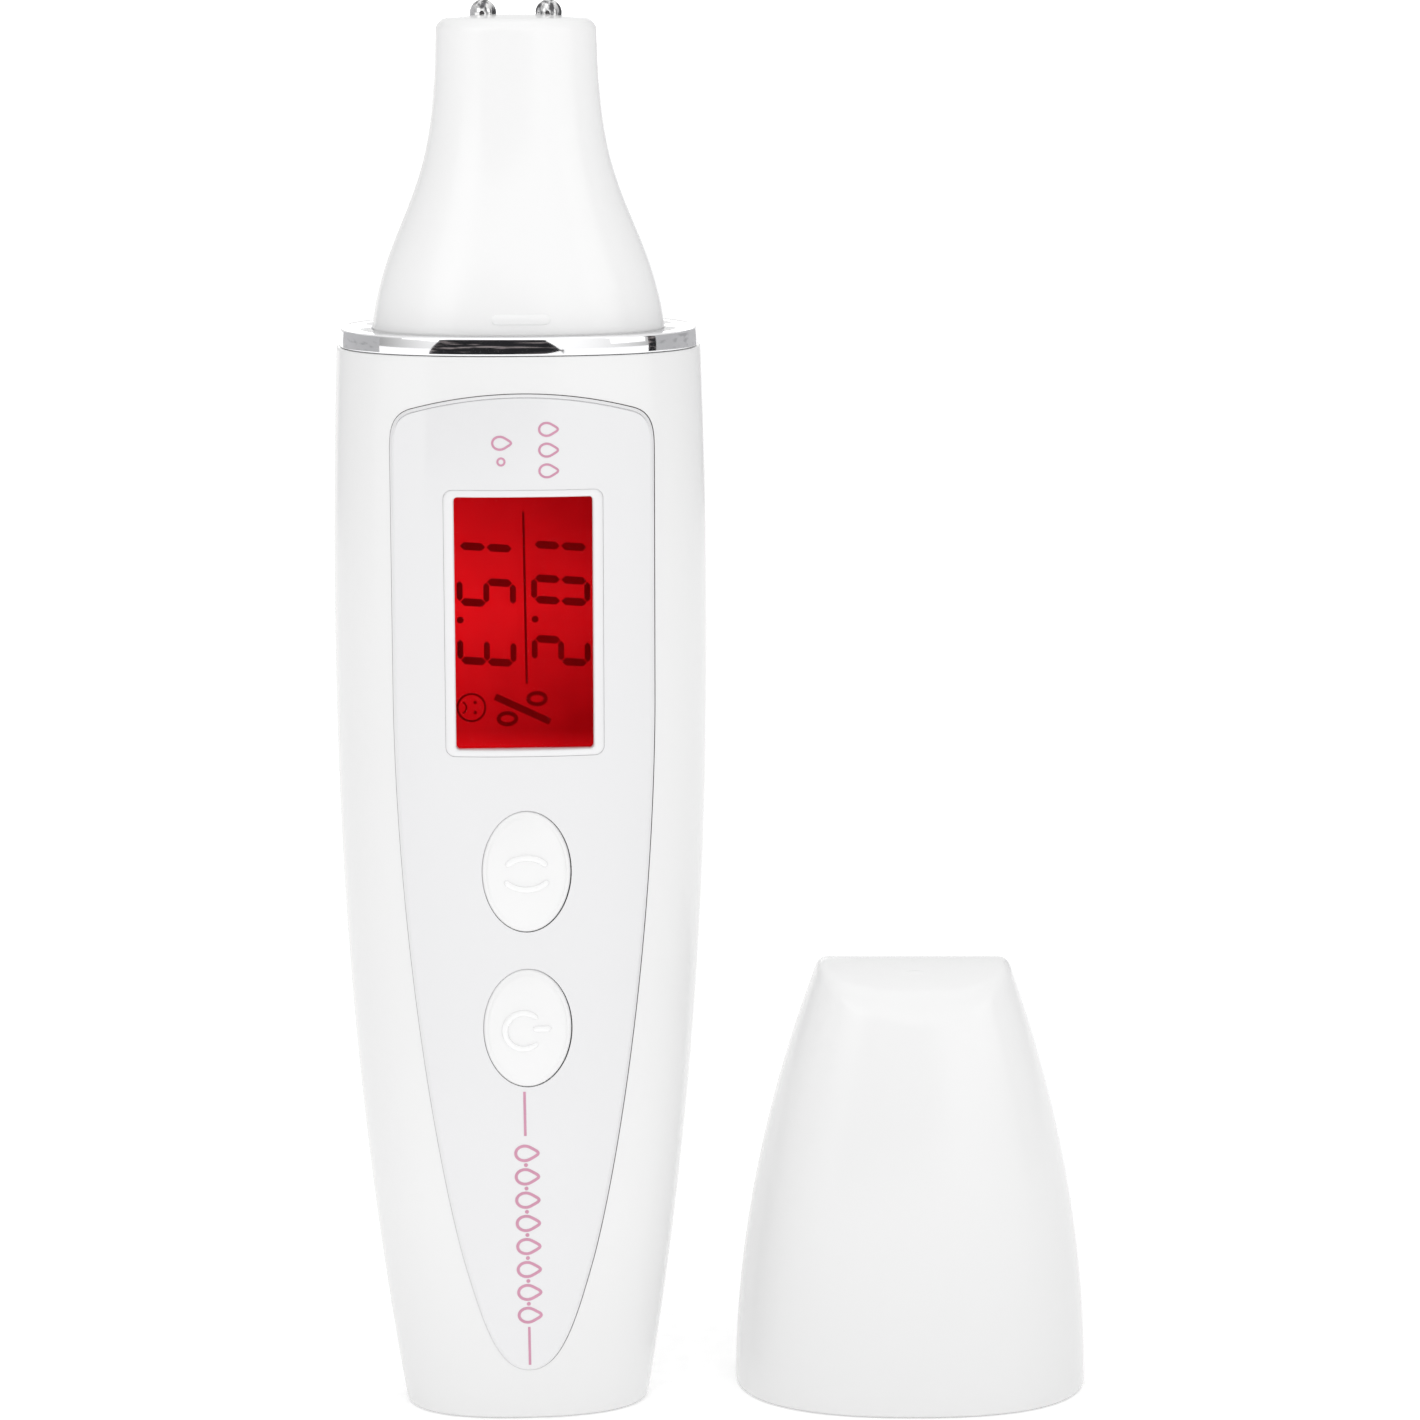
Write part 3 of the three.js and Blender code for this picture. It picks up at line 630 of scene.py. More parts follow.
def sleeve(x, z, seat, count=48):
    """A tube along Y with a floor the screw passes through: its outer end stops 0.4 mm under the
    casing's back, and its inner end is flat."""
    t = full_turn(count)
    rows = []
    profile = [(1.15, 0), (SLEEVE, 0), (SLEEVE, None), (2.7, None), (2.7, -0.8), (1.15, -0.8)]
    for radius, deep in profile:
        across, up = x + radius * np.cos(t), z + radius * np.sin(t)
        y = casing_depth(across, up) - 0.4 if deep is None else seat + deep
        rows.append(points_of(across, y, up))
    return skin(rows, ring=True)


rear_shell = shape("rear_casing", casing_tube())
screw_holes = [prism(ellipse(SLEEVE, SLEEVE, z, 40) + [x, 0], 30, 2) for x, z, _ in SCREWS]
openings = [block((-30, -30, -5), (30, SEAM, 120)), prism(door_outline(0.2), 30, 3.4)]
carve(rear_shell, openings + screw_holes)
finished(rear_shell, casing_white, "meter", ["rear_shell"])
sleeves = shape("screw_sleeves", joined([sleeve(*s) for s in SCREWS]), turn_out=True)
finished(sleeves, casing_white, "meter")

# %% [markdown]
# ## The battery door
#
# The door is a patch of the casing's back, 1.5 mm thick, with a round thumb dish and three short ridges.
# A grid in x and z carries the dish and the ridges as a change in depth, and the door's outline trims it.

# %% Door with dish and ridges


def door_back(x, z):
    """The casing's depth, less a shallow spherical dish, plus three ridges that fade out sideways."""
    away = np.hypot(x, z - 60.0)
    dish = 0.6 * np.clip(1 - (away / 4.05) ** 2, 0, None)
    ridges = sum(np.exp(-(((z - middle) / 0.28) ** 2)) for middle in (58.4, 60.0, 61.6))
    fade = 1 / (1 + np.exp((np.abs(x) - 2.3) / 0.12))
    return casing_depth(x, z) - dish + 0.32 * ridges * fade


def slab_between(x, z, outer, inner):
    """A closed slab over the grid x, z: loops run round the two skins, column by column."""
    front, back = points_of(x, inner, z), points_of(x, outer, z)
    return skin(np.concatenate([back, front[:, ::-1]], axis=1))


grid_z, grid_x = np.meshgrid(np.linspace(11, 68.6, 330), np.linspace(-12.4, 12.4, 125), indexing="ij")
outer_depth = door_back(grid_x, grid_z)
door = shape("battery_cover", slab_between(grid_x, grid_z, outer_depth, outer_depth - 1.5), turn_out=True)
carve(door, [prism(door_outline(0.0), 30, 1)], "INTERSECT")
finished(door, casing_white, "battery_door", ["battery_door"])

# %% [markdown]
# ## The display panel
#
# The panel is a glossy shield let into the casing, standing 0.3 mm proud with a bevelled edge, and a
# shallow groove runs inside the bevel round its top. Its loops are its own outline, shrinking towards a
# line down the middle: first along the underside, then over the bevel, then back to the middle on top.

# %% Panel


def towards_spine(outline, share, low=14.0, high=96.0):
    """Each point moved towards the nearest point of the middle line between two heights."""
    spine = points_of(0.0, np.clip(outline[:, 1], low, high))
    return spine + (outline - spine) * share


def on_casing(outline, out):
    """The outline laid on the casing's front, moved outwards by out."""
    return upright(outline, -casing_depth(outline[:, 0], outline[:, 1], out))


PROUD = 0.3
BEVEL = [(0.0, 0.0), (0.02, 0.05), (0.26, 0.27)]
GROOVE_MIDDLE, GROOVE_INNER, GROOVE_DEPTH = 0.32, 0.38, 0.14


def panel_rows():
    """Underside from the middle outwards, the edge with its bevel, and the top back to the middle."""
    under = [on_casing(towards_spine(panel_outline, s), -0.8) for s in np.linspace(0, 1, 14)]
    edge = [on_casing(inset(panel_outline, inwards), out) for inwards, out in BEVEL]
    nearly_top = np.clip((panel_outline[:, 1] - 101) / 2.5, 0, 1)
    groove = BEVEL[-1][1] - GROOVE_DEPTH * nearly_top
    edge.append(on_casing(inset(panel_outline, GROOVE_MIDDLE), groove))
    inner = inset(panel_outline, GROOVE_INNER)
    edge.append(on_casing(inner, PROUD))
    top = [on_casing(towards_spine(inner, s), PROUD) for s in np.linspace(1, 0, 40)[1:]]
    return np.array(under + edge + top)


RIM_OUTER, RIM_INNER = (15.4, 26.1, 0.9), (13.35, 24.7, 0.35)
RIM_GAP = 0.015
DISPLAY_MIDDLE = 82.9
KEYS = {"hold": 58.3, "power": 42.3}
KEY_WIDTH, KEY_HEIGHT = 4.35, 6.1
KEY_GAP, KEY_GAP_SHIFT = 0.05, [0.04, 0]
panel = shape("display_panel", skin(panel_rows(), fans=False))
rim_width, rim_height, rim_corner = RIM_OUTER
rim_hole = rounded_rectangle(rim_width + 2 * RIM_GAP, rim_height + 2 * RIM_GAP, rim_corner, DISPLAY_MIDDLE)
key_holes = [
    prism(ellipse(KEY_WIDTH + KEY_GAP, KEY_HEIGHT + KEY_GAP, z) + KEY_GAP_SHIFT, -3, -30)
    for z in KEYS.values()
]
carve(panel, [prism(rim_hole, -3, -30), *key_holes])
finished(panel, panel_white, "meter", ["front_panel"], sharp=14)

# %% [markdown]
# ## The display's rim
#
# The display shows through a thin raised frame. Its cross-section is carried round a rounded rectangle:
# every loop has the same number of points, so the outer and inner outlines can be blended.

# %% Rim


def rim_loop(share, out):
    """The outline `share` of the way from the opening to the outside, laid on the casing."""
    inner = rounded_rectangle(*RIM_INNER, DISPLAY_MIDDLE)
    outer = rounded_rectangle(*RIM_OUTER, DISPLAY_MIDDLE)
    return on_casing(inner + (outer - inner) * share, out)


# Each row is the share of the way outwards, and the height out from the casing.
rim_profile = [(0, -0.85), (0, 0.2), (0.05, 0.34), (0.13, 0.43), (0.25, 0.48), (0.45, 0.48), (0.62, 0.45)]
rim_profile += [(0.8, 0.39), (0.93, 0.33), (1.0, 0.24), (1.0, -0.85)]
rim = shape("display_frame", skin([rim_loop(s, o) for s, o in rim_profile], ring=True), turn_out=True)
finished(rim, rim_white, "meter", ["display_rim"])

# %% [markdown]
# ## The keys
#
# Each key is an oval dome in an oval hole, with a raised symbol. The dome is the casing's own surface
# plus a crown that falls off with the square of the distance from its middle, and rounds over at the
# edge. A symbol is one or two beads along arcs and lines.

# %% Keys


def key_height(x, z, middle):
    """Out from the casing: the panel's level, a step of 0.12 mm, and a crown of 0.55 mm at the middle."""
    reach = (x / KEY_WIDTH) ** 2 + ((z - middle) / KEY_HEIGHT) ** 2
    return PROUD + 0.12 + 0.55 * (1 - reach)


def key_rows(middle, skirt=-2.3, edge=0.4):
    """A straight skirt, a quarter circle at the edge, then ovals shrinking to the middle."""
    outline = ellipse(KEY_WIDTH, KEY_HEIGHT, middle, 128)
    base = key_height(outline[:, 0], outline[:, 1], middle)
    rows = [on_casing(outline, skirt)]
    for turn in np.linspace(0, np.pi / 2, 8):
        rounder = inset(outline, edge * (1 - math.cos(turn)))
        rows.append(on_casing(rounder, base - edge + edge * math.sin(turn)))
    for share in np.linspace(1, 0.01, 30)[1:]:
        oval = (inset(outline, edge) - [0, middle]) * share + [0, middle]
        rows.append(on_casing(oval, key_height(oval[:, 0], oval[:, 1], middle)))
    return rows


def bead(path, middle, width=0.62, height=0.3, count=12):
    """A raised stroke: a half-sunk oval section carried along a path over the key, closed at its ends."""
    side = -sideways(np.gradient(path, axis=0))
    ends = np.minimum(np.arange(len(path)), np.arange(len(path))[::-1])
    swell = np.sqrt(np.clip(1 - (1 - np.clip(ends / 4, 0, 1)) ** 2, 0.02, 1))[:, None]
    t = full_turn(count)[None, :]
    across = path[:, None, :] + side[:, None, :] * (0.5 * width * swell * np.cos(t))[:, :, None]
    x, z = across[..., 0], across[..., 1]
    lift = key_height(x, z, middle) + height * swell * np.sin(t)
    return skin(points_of(x, -casing_depth(x, z, lift), z))


def arc(centre, radius, start, stop, count=40, squash=1.0):
    """Points of a circular arc in x, z; angles in degrees, squash scales it along z."""
    t = np.radians(np.linspace(start, stop, count))
    return points_of(centre[0] + radius * np.cos(t), centre[1] + squash * radius * np.sin(t))


def line(start, stop, count=20):
    """Points of a straight line."""
    return np.linspace(start, stop, count).astype(float)


SYMBOLS = {
    "hold": [arc((0, 58.35), 2.2, 25, 155, squash=0.68), arc((0, 58.2), 2.35, 205, 335, squash=0.66)],
    "power": [arc((-0.4, 42.2), 1.85, 40, 320), line((0.5, 42.4), (2.35, 42.4))],
}
for key, middle in KEYS.items():
    button = shape(f"{key}_button", skin(key_rows(middle)), turn_out=True)
    finished(button, key_white, f"{key}_key", [f"{key}_key"])
    symbol = shape(f"{key}_symbol", joined([bead(path, middle) for path in SYMBOLS[key]]), turn_out=True)
    finished(symbol, symbol_highlight_white, f"{key}_key")

# %% [markdown]
# ## The display's figures
#
# The figures are seven-segment numbers, turned so that they are read with the meter lying down: their
# tops point along +X and they are read along -Z. Each is built in its own flat frame, p along the line of
# reading and q up the figure, leaned over slightly, then laid on the display. A line divides the two
# readings, and a per cent sign and a plain face stand after them, drawn as strokes.

# %% Figures and marks
FIGURE_DEPTH = -10.94
INK = 0.02
SEGMENTS = {"0": "ABCDEF", "1": "BC", "2": "ABGED", "3": "ABGCD", "5": "AFGCD"}


def bar(start, stop, thick):
    """A bar with pointed ends between two points: six corners."""
    start, stop = np.array(start, dtype=float), np.array(stop, dtype=float)
    along = (stop - start) / np.linalg.norm(stop - start)
    side = np.array([-along[1], along[0]]) * thick / 2
    near, far = start + along * thick / 2, stop - along * thick / 2
    return np.array([start, near - side, far - side, stop, far + side, near + side])


def figure(digit, width=2.1, height=5.15):
    """The bars of one figure, its lower left corner at the origin."""
    h, w, gap = height, width, 0.07
    ends = {
        "A": ((gap, h), (w - gap, h)),
        "B": ((w, h - gap), (w, h / 2 + gap)),
        "C": ((w, h / 2 - gap), (w, gap)),
        "D": ((gap, 0), (w - gap, 0)),
        "E": ((0, gap), (0, h / 2 - gap)),
        "F": ((0, h / 2 + gap), (0, h - gap)),
        "G": ((gap, h / 2), (w - gap, h / 2)),
    }
    return [bar(*ends[name], 0.57 if name in "AGD" else 0.76) for name in SEGMENTS[digit]]


def laid(polygons, left, foot, lean=0.07):
    """Polygons in p, q turned to the display's x and z: x = foot + q, z = left - p - lean q."""
    return [points_of(foot + p[:, 1], left - p[:, 0] - lean * p[:, 1]) for p in polygons]


def disc(centre, radius, count=24, squash=1.0):
    """A circle or an oval, whose last point comes one step before its first."""
    return arc(centre, radius, 0, 360 * (1 - 1 / count), count, squash)


def on_display(outline, lift):
    """An outline in x, z on the display's front."""
    return upright(outline, FIGURE_DEPTH - lift)


def filled(outline, place):
    """A filled mark with an ink's thickness: a prism between the outline and the same outline lifted."""
    return skin([place(outline, 0.0), place(outline, INK)])


def stroked(path, thick, place, closed=False):
    """A line drawn in ink: a flat rectangle carried along the path."""
    around = np.roll(path, -1, axis=0) - np.roll(path, 1, axis=0)
    side = sideways(around if closed else np.gradient(path, axis=0)) * thick / 2
    left, right = path + side, path - side
    corners = [place(left, 0.0), place(right, 0.0), place(right, INK), place(left, INK)]
    return skin(np.stack(corners, axis=1), ring=closed)


READINGS = {1.03: [("1", 92.5), ("0", 87.1), ("2", 81.15)], -6.18: [("1", 92.43), ("5", 86.95), ("3", 81.2)]}
marks = []
for foot, digits in READINGS.items():
    for digit, left in digits:
        marks += laid(figure(digit), left, foot)
marks += [disc((x, 83.05), 0.33) for x in (1.1, -6.15)]
marks += [disc((-4.8, z), 0.17) for z in (74.9, 73.9)]
strokes = [
    (line((0.04, 93.6), (0.24, 76.7)), 0.22, False),
    (line((-2.85, 75.45), (2.5, 72.9)), 0.68, False),
    (disc((1.22, 75.2), 0.85, 40, 0.66), 0.4, True),
    (disc((-1.68, 73.25), 0.85, 40, 0.66), 0.4, True),
    (disc((-5.16, 74.4), 1.35, 40), 0.2, True),
    (arc((-6.25, 74.4), 0.6, -65, 65, 17), 0.16, False),
]
readout = [filled(mark, on_display) for mark in marks]
readout += [stroked(path, thick, on_display, closed) for path, thick, closed in strokes]
figures = shape("display_figures", joined(readout), turn_out=True)
finished(figures, figure_ink, "meter")

# %% [markdown]
# ## The trim ring
#
# A plated ring closes the top of the casing. Its rounded cross-section is carried round the casing's top
# section. It is a little smaller than the casing, so that a fine step catches the light below it.

# %% Ring


def ring_rows(low=108.76, high=110.5, a=17.57, b=12.47, foot=0.08, r=0.22):
    """From the inner bottom edge outwards, up the wall, over the top and down the inside. The wall leans
    in by 0.09 mm and bulges by 0.03 mm, a parabola, so that it shows more than one line of the room.
    Its bottom edge has the radius `foot`, its top edge the radius r."""
    turn = np.linspace(0, np.pi / 2, 7)
    up = np.linspace(0, 1, 12)[1:-1]
    wall = [(-foot + foot * math.sin(t), low + foot - foot * math.cos(t)) for t in turn]
    wall += [(0.12 * s * (1 - s) - 0.09 * s, low + foot + (high - low - foot - r) * s) for s in up]
    wall += [(-0.09 - r + r * math.cos(t), high - r + r * math.sin(t)) for t in turn]
    profile = [(14.4, 10.3, low), (16, 11.4, low)]
    profile += [(a + out, b + out, z) for out, z in wall]
    profile += [(16, 11.4, high), (14.55, 10.45, high), (14.4, 10.3, high - 0.15)]
    return [level_loop(*row, count=288) for row in profile]


ring = shape("chrome_ring", skin(ring_rows(), ring=True), turn_out=True)
finished(ring, ring_chrome, "meter", ["trim_ring"], sharp=50)

# %% [markdown]
# ## The sensor head
#
# The head flares from the contacts down to the ring like the neck of a bottle, which the smooth step
# above draws. Its top edge is rounded, and its top is a little crowned. Two short ribs, front and back,
# are what the cap clicks over.

# %% Head


def head_half_width(z):
    """7.75 at the contacts, 15 at the ring."""
    return 7.75 + 7.25 * head_flare(z)


def head_half_depth(z):
    """6 at the contacts, 10.6 at the ring."""
    return 6.0 + 4.6 * head_flare(z)


def head_rows(edge=1.25, crown=0.35):
    """The neck inside the ring, the flare, a quarter circle at the top edge, then loops to the middle."""
    turn = np.linspace(0, np.pi / 2, 12)[1:]
    shoulder = HEAD_TOP - crown - edge
    levels = [(106.1, 0.25), (110.1, 0.25), (110.4, 0.1), (110.7, 0)]
    levels += [(z, 0) for z in np.linspace(111.2, shoulder, 60)]
    levels += [(shoulder + edge * math.sin(t), edge * (1 - math.cos(t))) for t in turn]
    rows = [level_loop(head_half_width(z) - i, head_half_depth(z) - i, z) for z, i in levels]
    rim = rows[-1][:, :2]
    for share in np.linspace(1, 0.01, 16)[1:]:
        rows.append(np.insert(rim * share, 2, HEAD_TOP - crown * share**2, axis=1))
    return rows


def rib(side, count=16):
    """A low half-sunk bar across the front or back of the head at z = 112."""
    x = np.linspace(-2.85, 2.85, 40)[:, None]
    t = full_turn(count)[None, :]
    end = np.sqrt(np.clip(1 - (np.abs(x) / 2.86) ** 12, 0.01, 1))
    z = 112 + 0.5 * end * np.sin(t)
    depth = section_depth(x, head_half_width(z), head_half_depth(z))
    y = side * (depth + 0.13 * end * np.cos(t))
    return skin(points_of(x, y, z))


head = shape("head_moulding", joined([skin(head_rows()), rib(-1), rib(1)]), turn_out=True)
finished(head, head_white, "meter", ["sensor_head"], sharp=40)

# %% Contacts


def turned(profile, centre, count=64):
    """A profile of (radius, height) carried round a vertical axis."""
    t = full_turn(count)
    return skin([points_of(centre[0] + r * np.cos(t), centre[1] + r * np.sin(t), z) for r, z in profile])


def contact_profile():
    """A shank, a short collar, and a dome that is a quarter circle."""
    tip, radius, base = 142.2, 1.3, 140.3
    dome = [(radius * math.cos(t), tip - radius + radius * math.sin(t)) for t in np.linspace(0, 1.5, 16)]
    return [(0.75, 137.5), (0.75, base), (radius - 0.05, base), *dome]


CONTACT_SPREAD = 3.18
for name, x in [("left", -CONTACT_SPREAD), ("right", CONTACT_SPREAD)]:
    contact = shape(f"{name}_contact_dome", turned(contact_profile(), (x, 0)), turn_out=True)
    finished(contact, contact_chrome, "meter", [f"contact_{name}"])

# %% [markdown]
# ## The cap
#
# The cap stands on its open rim. Its walls taper like the casing, and its top is an arch from front to
# back, so seen from the front the crest is a straight line. Where wall and arch meet, each loop's
# corner is rounded with a quadratic Bezier curve between a point on the wall and a point on the top.

# %% Cap


def arch_height(y, inwards=0.0):
    """The arch over the cap, z = centre + sqrt(R^2 - y^2), with inwards taken off R."""
    radius = ARCH_RADIUS - inwards
    return CAP_HEIGHT - ARCH_RADIUS + np.sqrt(np.clip(radius**2 - y**2, 0, None))


def cap_corner(angle, inwards):
    """For each angle, the height at which the wall meets the arch, found by repeated averaging."""
    height = np.full_like(angle, CAP_HEIGHT - 1.0)
    for _ in range(30):
        _, y = cap_section(angle, height, inwards)
        height = 0.5 * height + 0.5 * arch_height(y, inwards)
    return height


def cap_section(angle, height, inwards):
    """The cap's superellipse at a height, drawn in by inwards. Its half sizes are 18.2 and 12.7 at the
    rim, and 10.1 and 7.3 where the taper is 1."""
    taper = cap_taper(height)
    return section(angle, 18.2 - 8.1 * taper - inwards, 12.7 - 5.4 * taper - inwards)


def cap_skin_rows(inwards, edge, levels, count=240):
    """Loops up the wall to the corner less `edge`, a Bezier corner, then along the arch to the middle."""
    angle = full_turn(count)
    corner = cap_corner(angle, inwards)

    def on_wall(height):
        return points_of(*cap_section(angle, height, inwards), height)

    def on_arch(share):
        x, y = cap_section(angle, corner, inwards)
        return points_of(x * share, y * share, arch_height(y * share, inwards))

    rows = [on_wall((corner - edge) * share) for share in levels]
    first, middle = on_wall(corner - edge), on_wall(corner)
    across = np.hypot(middle[:, 0], middle[:, 1])
    last = on_arch(1 - edge / across)
    for t in np.linspace(0, 1, 12)[1:]:
        rows.append((1 - t) ** 2 * first + 2 * t * (1 - t) * middle + t**2 * last)
    for share in np.linspace(1, 0.02, 22)[1:]:
        rows.append(on_arch((1 - edge / across) * share))
    return rows


def stand_cap(points):
    """Turns the cap on its own axis and puts it beside the meter."""
    x0, y0, turn = CAP_PLACE
    x, y, z = points.T
    c, s = math.cos(turn), math.sin(turn)
    return points_of(x0 + c * x - s * y, y0 + s * x + c * y, z)


def cap_rows(count=240):
    """The inside from the middle down to the rim, the rim with small radii, and the outside up again.
    The outer corner's rounding reaches 0.85 mm at the sides and 1.8 mm at the front and back."""
    angle = full_turn(count)
    inside = cap_skin_rows(WALL, 1.0, np.linspace(0.012, 1, 34))[::-1]
    outside = cap_skin_rows(0.0, 0.85 + 0.95 * np.cos(angle) ** 2, np.linspace(0.012, 1, 44))
    edges = [(WALL - 0.05, 0.2), (WALL - 0.2, 0.05), (WALL - 0.4, 0), (0.5, 0), (0.24, 0.08), (0.07, 0.24)]
    rim = [points_of(*cap_section(angle, 0, inwards), z) for inwards, z in edges]
    return inside + rim + outside


def gate_mark(centre=-3.4, half_width=1.0, half_depth=0.45, count=32):
    """A low lens on the arch where the plastic entered the mould: it stands out by 0.07 (1 - r^2)."""
    t = full_turn(count)
    rows = []
    for r, out in [(1, -0.1)] + [(r, 0.07 * (1 - r * r)) for r in (1, 0.8, 0.6, 0.4, 0.2, 0.02)]:
        x, y = half_width * r * np.cos(t), centre + half_depth * r * np.sin(t)
        rows.append(points_of(x, y, arch_height(y) + out))
    return skin(rows)


cap_points, cap_faces = joined([skin(cap_rows()), gate_mark()])
cap = shape("cap_moulding", (stand_cap(cap_points), cap_faces), turn_out=True)
finished(cap, cap_white, "cap", ["cap_shell"], sharp=50)

# %% [markdown]
# ## Printing on the panel
#
# Two fine lines and a row of small drops run down the panel's point in pale pink, and more drops stand
# above the display, one column for each half of it. Ink has next to no thickness, so each mark is a
# closed slab of 0.02 mm laid on the panel. Its points take their depth from the casing's formula.

# %% Pink print
print_pink = plain("print_pink", rgb(214, 152, 178), Roughness=0.45)


def on_panel(outline, lift):
    """An outline in x, z laid just clear of the panel."""
    return on_casing(outline, PROUD + 0.005 + lift)


def drop(centre, size, count=40):
    """A drop whose tip points along +X: an oval drawn out to a point by a high power of a cosine."""
    t = full_turn(count)
    reach = size * (1 + 0.5 * np.clip(np.cos(t), 0, None) ** 6)
    return points_of(centre[0] + reach * np.cos(t), centre[1] + size * 0.86 * np.sin(t))


def leaning(z, low=8.0, lean=-0.013):
    """The print's own line, which leans a little: x at a height."""
    return lean * (z - low)


prints = []
for step, z in enumerate(np.linspace(29.2, 11.7, 15)):
    if step % 2 == 0:
        prints.append(stroked(drop((leaning(z) - 0.1, z), 0.9), 0.3, on_panel, closed=True))
    else:
        prints.append(filled(disc((leaning(z), z), 0.2), on_panel))
for top, foot in [(35.7, 31.05), (10.4, 6.2)]:
    prints.append(stroked(line((leaning(top), top), (leaning(foot), foot)), 0.26, on_panel))
for x, z in [(2.3, 101.8), (2.3, 99.8), (2.3, 97.8), (-2.2, 100.5)]:
    prints.append(stroked(drop((x, z), 0.72), 0.22, on_panel, closed=True))
prints.append(stroked(disc((-2.1, 98.7), 0.34, 40), 0.2, on_panel, closed=True))
panel_print = shape("panel_print", joined(prints), turn_out=True)
finished(panel_print, print_pink, "meter")

# %% [markdown]
# ## Inside the meter
#
# Behind the battery door are two cells in a tray, with spring contacts. The solids have the right shapes
# there, so they only get finishes: a jacket with a pale band, nickel-plated steel, solder mask and so on.

# %% Finishes for the inner pieces


def battery_jacket():
    """A dark film jacket with a paler band near one end, and bare metal at both ends."""
    jacket = Finish("cell_jacket", Roughness=0.3)
    up = jacket.along("Z") * 1000
    stops = [(0.0, rgb(150, 104, 52)), (0.28, rgb(46, 48, 56))]
    band = jacket.add("ShaderNodeValToRGB", {"stops": stops}, {"Fac": (up - 15) / 44})
    ends = (abs(up - 37) - 21.4).clipped()
    return jacket.paint(
        Base_Color=jacket.blend(ends, band, grey(190)),
        Metallic=ends,
        Roughness=0.28 + 0.1 * jacket.noise(400, 3),
    )


def drawn_steel():
    """Nickel-plated steel with fine marks drawn out along Z."""
    steel = Finish("drawn_steel", Metallic=1.0)
    marks = steel.noise(1500, 4, (1, 1, 0.1))
    colour = steel.blend(marks, rgb(196, 197, 199), rgb(160, 161, 164))
    return steel.paint(Base_Color=colour, Roughness=0.22 + 0.2 * marks)


def solder_mask():
    """Green lacquer over copper: cells of a Voronoi pattern stand for the traces that show through."""
    mask = Finish("solder_mask", Roughness=0.35)
    square = {"distance": "CHEBYCHEV"}
    spread = {"Vector": mask.place(), "Scale": 450.0}
    traces = mask.add("ShaderNodeTexVoronoi", square, spread, output="Distance")
    colour = mask.blend(traces, rgb(26, 96, 52), rgb(16, 66, 36))
    return mask.paint(Base_Color=colour, Normal=mask.bump(traces, 0.2, 0.00005))


inner_finishes = {
    "battery_jacket": battery_jacket(),
    "steel": drawn_steel(),
    "circuit_board": solder_mask(),
    "inner_plastic": plain("inner_plastic", grey(222, -2), Roughness=0.5),
    "diffuser": plain("diffuser_plastic", grey(232), Roughness=0.6),
    "black_plastic": plain("black_plastic", grey(30, 2), Roughness=0.45),
    "red_lead": plain("red_insulation", rgb(160, 34, 42), Roughness=0.5),
    "black_lead": plain("black_insulation", grey(34, 2), Roughness=0.5),
    "display_film": display_film,
    "display_window": window_clear,
}
for entry in frame["record"]["subparts"]:
    finish = inner_finishes.get(entry["material_slot"])
    if finish:
        materials = frame["nodes"][entry["node"]].data.materials
        materials.clear()
        materials.append(finish)
print("inner pieces finished with", len(inner_finishes), "materials")

# %% [markdown]
# ## Floor, light and camera
#
# A white object on white is drawn by its edges. The surround is brightest in front and above, and darker
# towards both sides, so the casing's flanks turn a soft grey. The table glows a little, as a
# light table does. Curved cards stand round the meter where only gloss can see them: a
# low dark one in front, grey ones at the sides and a white one behind. The chrome ring shows them all,
# which is what makes plating look like metal.

# %% Light table and cards
from mathutils import Vector


def flat(name, corners, finish):
    """A flat four-cornered piece of the studio, which isn't part of the object."""
    mesh = bpy.data.meshes.new(name)
    mesh.from_pydata(corners, [], [(0, 1, 2, 3)])
    mesh.materials.append(finish)
    thing = bpy.data.objects.new(name, mesh)
    bpy.context.scene.collection.objects.link(thing)


def streaked(name, colour, streak):
    """A dull card with a few soft streaks: noise drawn out sideways, cut off below a middle value."""
    finish = Finish(name, Roughness=0.8, Specular_IOR_Level=0.0)
    streaks = ((finish.noise(16, 3, (0.35, 0.35, 1.6)) - 0.56) * 9).clipped()
    return finish.paint(Base_Color=finish.blend(streaks, colour, streak))


table_white = plain(
    "table_white",
    (0.92, 0.92, 0.92, 1.0),
    Roughness=0.9,
    Specular_IOR_Level=0.0,
    Emission_Color=(1, 1, 1, 1),
    Emission_Strength=0.335,
)
card_black = streaked("card_black", (0.02, 0.02, 0.022, 1.0), (0.34, 0.3, 0.3, 1.0))
card_grey = streaked("card_grey", (0.5, 0.5, 0.51, 1.0), (0.38, 0.38, 0.39, 1.0))
glowing_white = plain("glowing_white", (1, 1, 1, 1), Emission_Color=(1, 1, 1, 1), Emission_Strength=1.1)
flat("light_table", [(-40, -40, 0), (40, -40, 0), (40, 40, 0), (-40, 40, 0)], table_white)


def card(name, turns, lows, tops, finish, away=0.7):
    """A curved card standing round the meter, seen only in gloss: lower and upper edges along `turns`,
    which are degrees from the front towards +X."""
    across, deep = away * np.sin(np.radians(turns)), -away * np.cos(np.radians(turns))
    edges = [points_of(across, deep, z) for z in (lows, tops)]
    sheet = shape(name, (np.concatenate(edges) * 1000, skin_faces(2, len(turns))[:-1]))
    sheet.data.materials.append(finish)
    sheet.visible_camera = sheet.visible_diffuse = sheet.visible_shadow = False


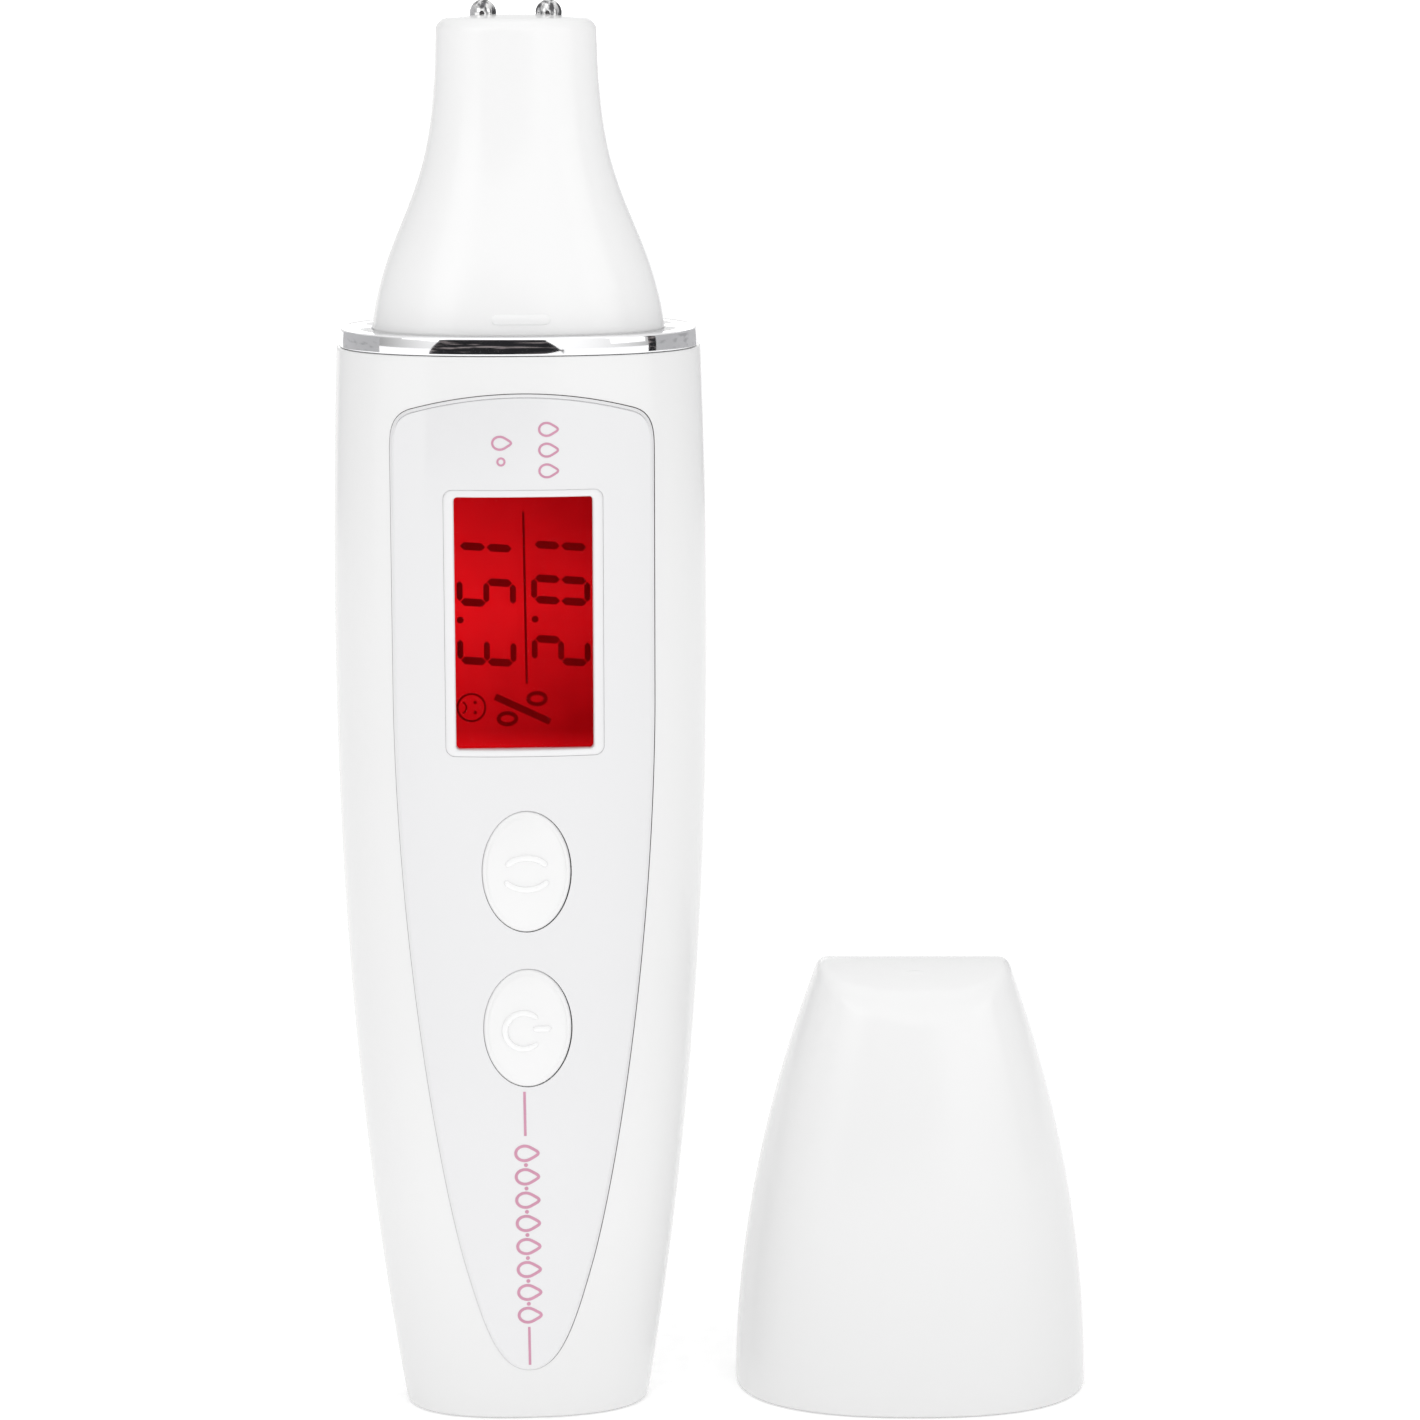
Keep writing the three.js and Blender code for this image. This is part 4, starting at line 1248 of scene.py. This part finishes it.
reach = np.linspace(-1, 1, 61)
lens_top = 0.02 + 0.36 * np.clip(1 - np.abs(reach) ** 2.4, 0, 1) ** 0.8
lens_low = 0.012 + 0.09 * np.clip(reach, 0, 1) ** 5
card("dark_card", -11 + 23.5 * reach, lens_low, lens_top, card_black)
card("left_card", np.linspace(-150, -76, 30), 0.001, 0.5, card_grey)
card("right_strip", np.linspace(64, 72, 5), 0.001, 0.5, card_black)
card("right_card", np.linspace(72, 160, 30), 0.001, 0.5, card_grey)
card("back_card", np.linspace(172, 188, 5), 0.162, 0.22, glowing_white)

# %% Surround


class Surround(Finish):
    """A world whose nodes are added in the same way as a finish's."""

    def __init__(self, name):
        self.material = bpy.data.worlds.new(name)
        self.material.use_nodes = True
        self.nodes = self.material.node_tree.nodes
        self.shader = self.nodes["Background"]

    def toward(self, axis):
        """How far the direction looked in points along an axis, from -1 to 1."""
        way = self.add("ShaderNodeTexCoord", output="Generated")
        return self.add("ShaderNodeSeparateXYZ", {}, {"Vector": way}, output=axis)


studio = Surround("studio")
across = studio.toward("X")
strength = 0.97 - 0.66 * across * across - 0.13 * studio.toward("Y") + 0.12 * studio.toward("Z")
bpy.context.scene.world = studio.paint(Color=(1, 1, 1, 1), Strength=strength)
bpy.context.scene.view_settings.view_transform = "Standard"

# %% [markdown]
# The backdrop is a tall white wall round the table that only the camera sees. It hides the surround's
# greys without changing the light.

# %% Backdrop
around = full_turn(64)
wall = points_of(4e3 * np.sin(around), 4e3 * np.cos(around))
levels = [np.insert(wall, 2, height, axis=1) for height in (-1.0, 3e3)]
backdrop = shape("backdrop", (np.concatenate(levels), skin_faces(2, 64)))
backdrop.data.materials.append(glowing_white)
backdrop.visible_diffuse = backdrop.visible_glossy = backdrop.visible_transmission = False
backdrop.visible_shadow = False

# %% Lamps


def aim(thing, place, target):
    """Puts a lamp or camera at a place, looking at a target, both in metres."""
    thing.location = place
    thing.rotation_euler = (Vector(target) - Vector(place)).to_track_quat("-Z", "Y").to_euler()


LAMP_SIZE = 0.6
LAMPS = {"left": ((-0.8, -0.9, 0.6), 0.9), "right": ((0.9, -0.8, 0.5), 0.7), "above": ((0, -0.1, 1.2), 0.5)}
for side, (place, watts) in LAMPS.items():
    light = bpy.data.lights.new(f"lamp_{side}", "AREA")
    light.shape, light.size, light.energy = "SQUARE", LAMP_SIZE, watts
    lamp = bpy.data.objects.new(f"lamp_{side}", light)
    bpy.context.scene.collection.objects.link(lamp)
    aim(lamp, place, (0.01, 0, 0.07))

# %% Camera
lens = bpy.data.cameras.new("front_lens")
lens.sensor_width = 36
lens.lens = 101.4
camera = bpy.data.objects.new("front_camera", lens)
bpy.context.scene.collection.objects.link(camera)
aim(camera, (-0.0087, -0.3943, 0.1471), (0.0188, -0.0013, 0.072))
bpy.context.scene.camera = camera
lens.clip_start, lens.clip_end = 0.02, 50
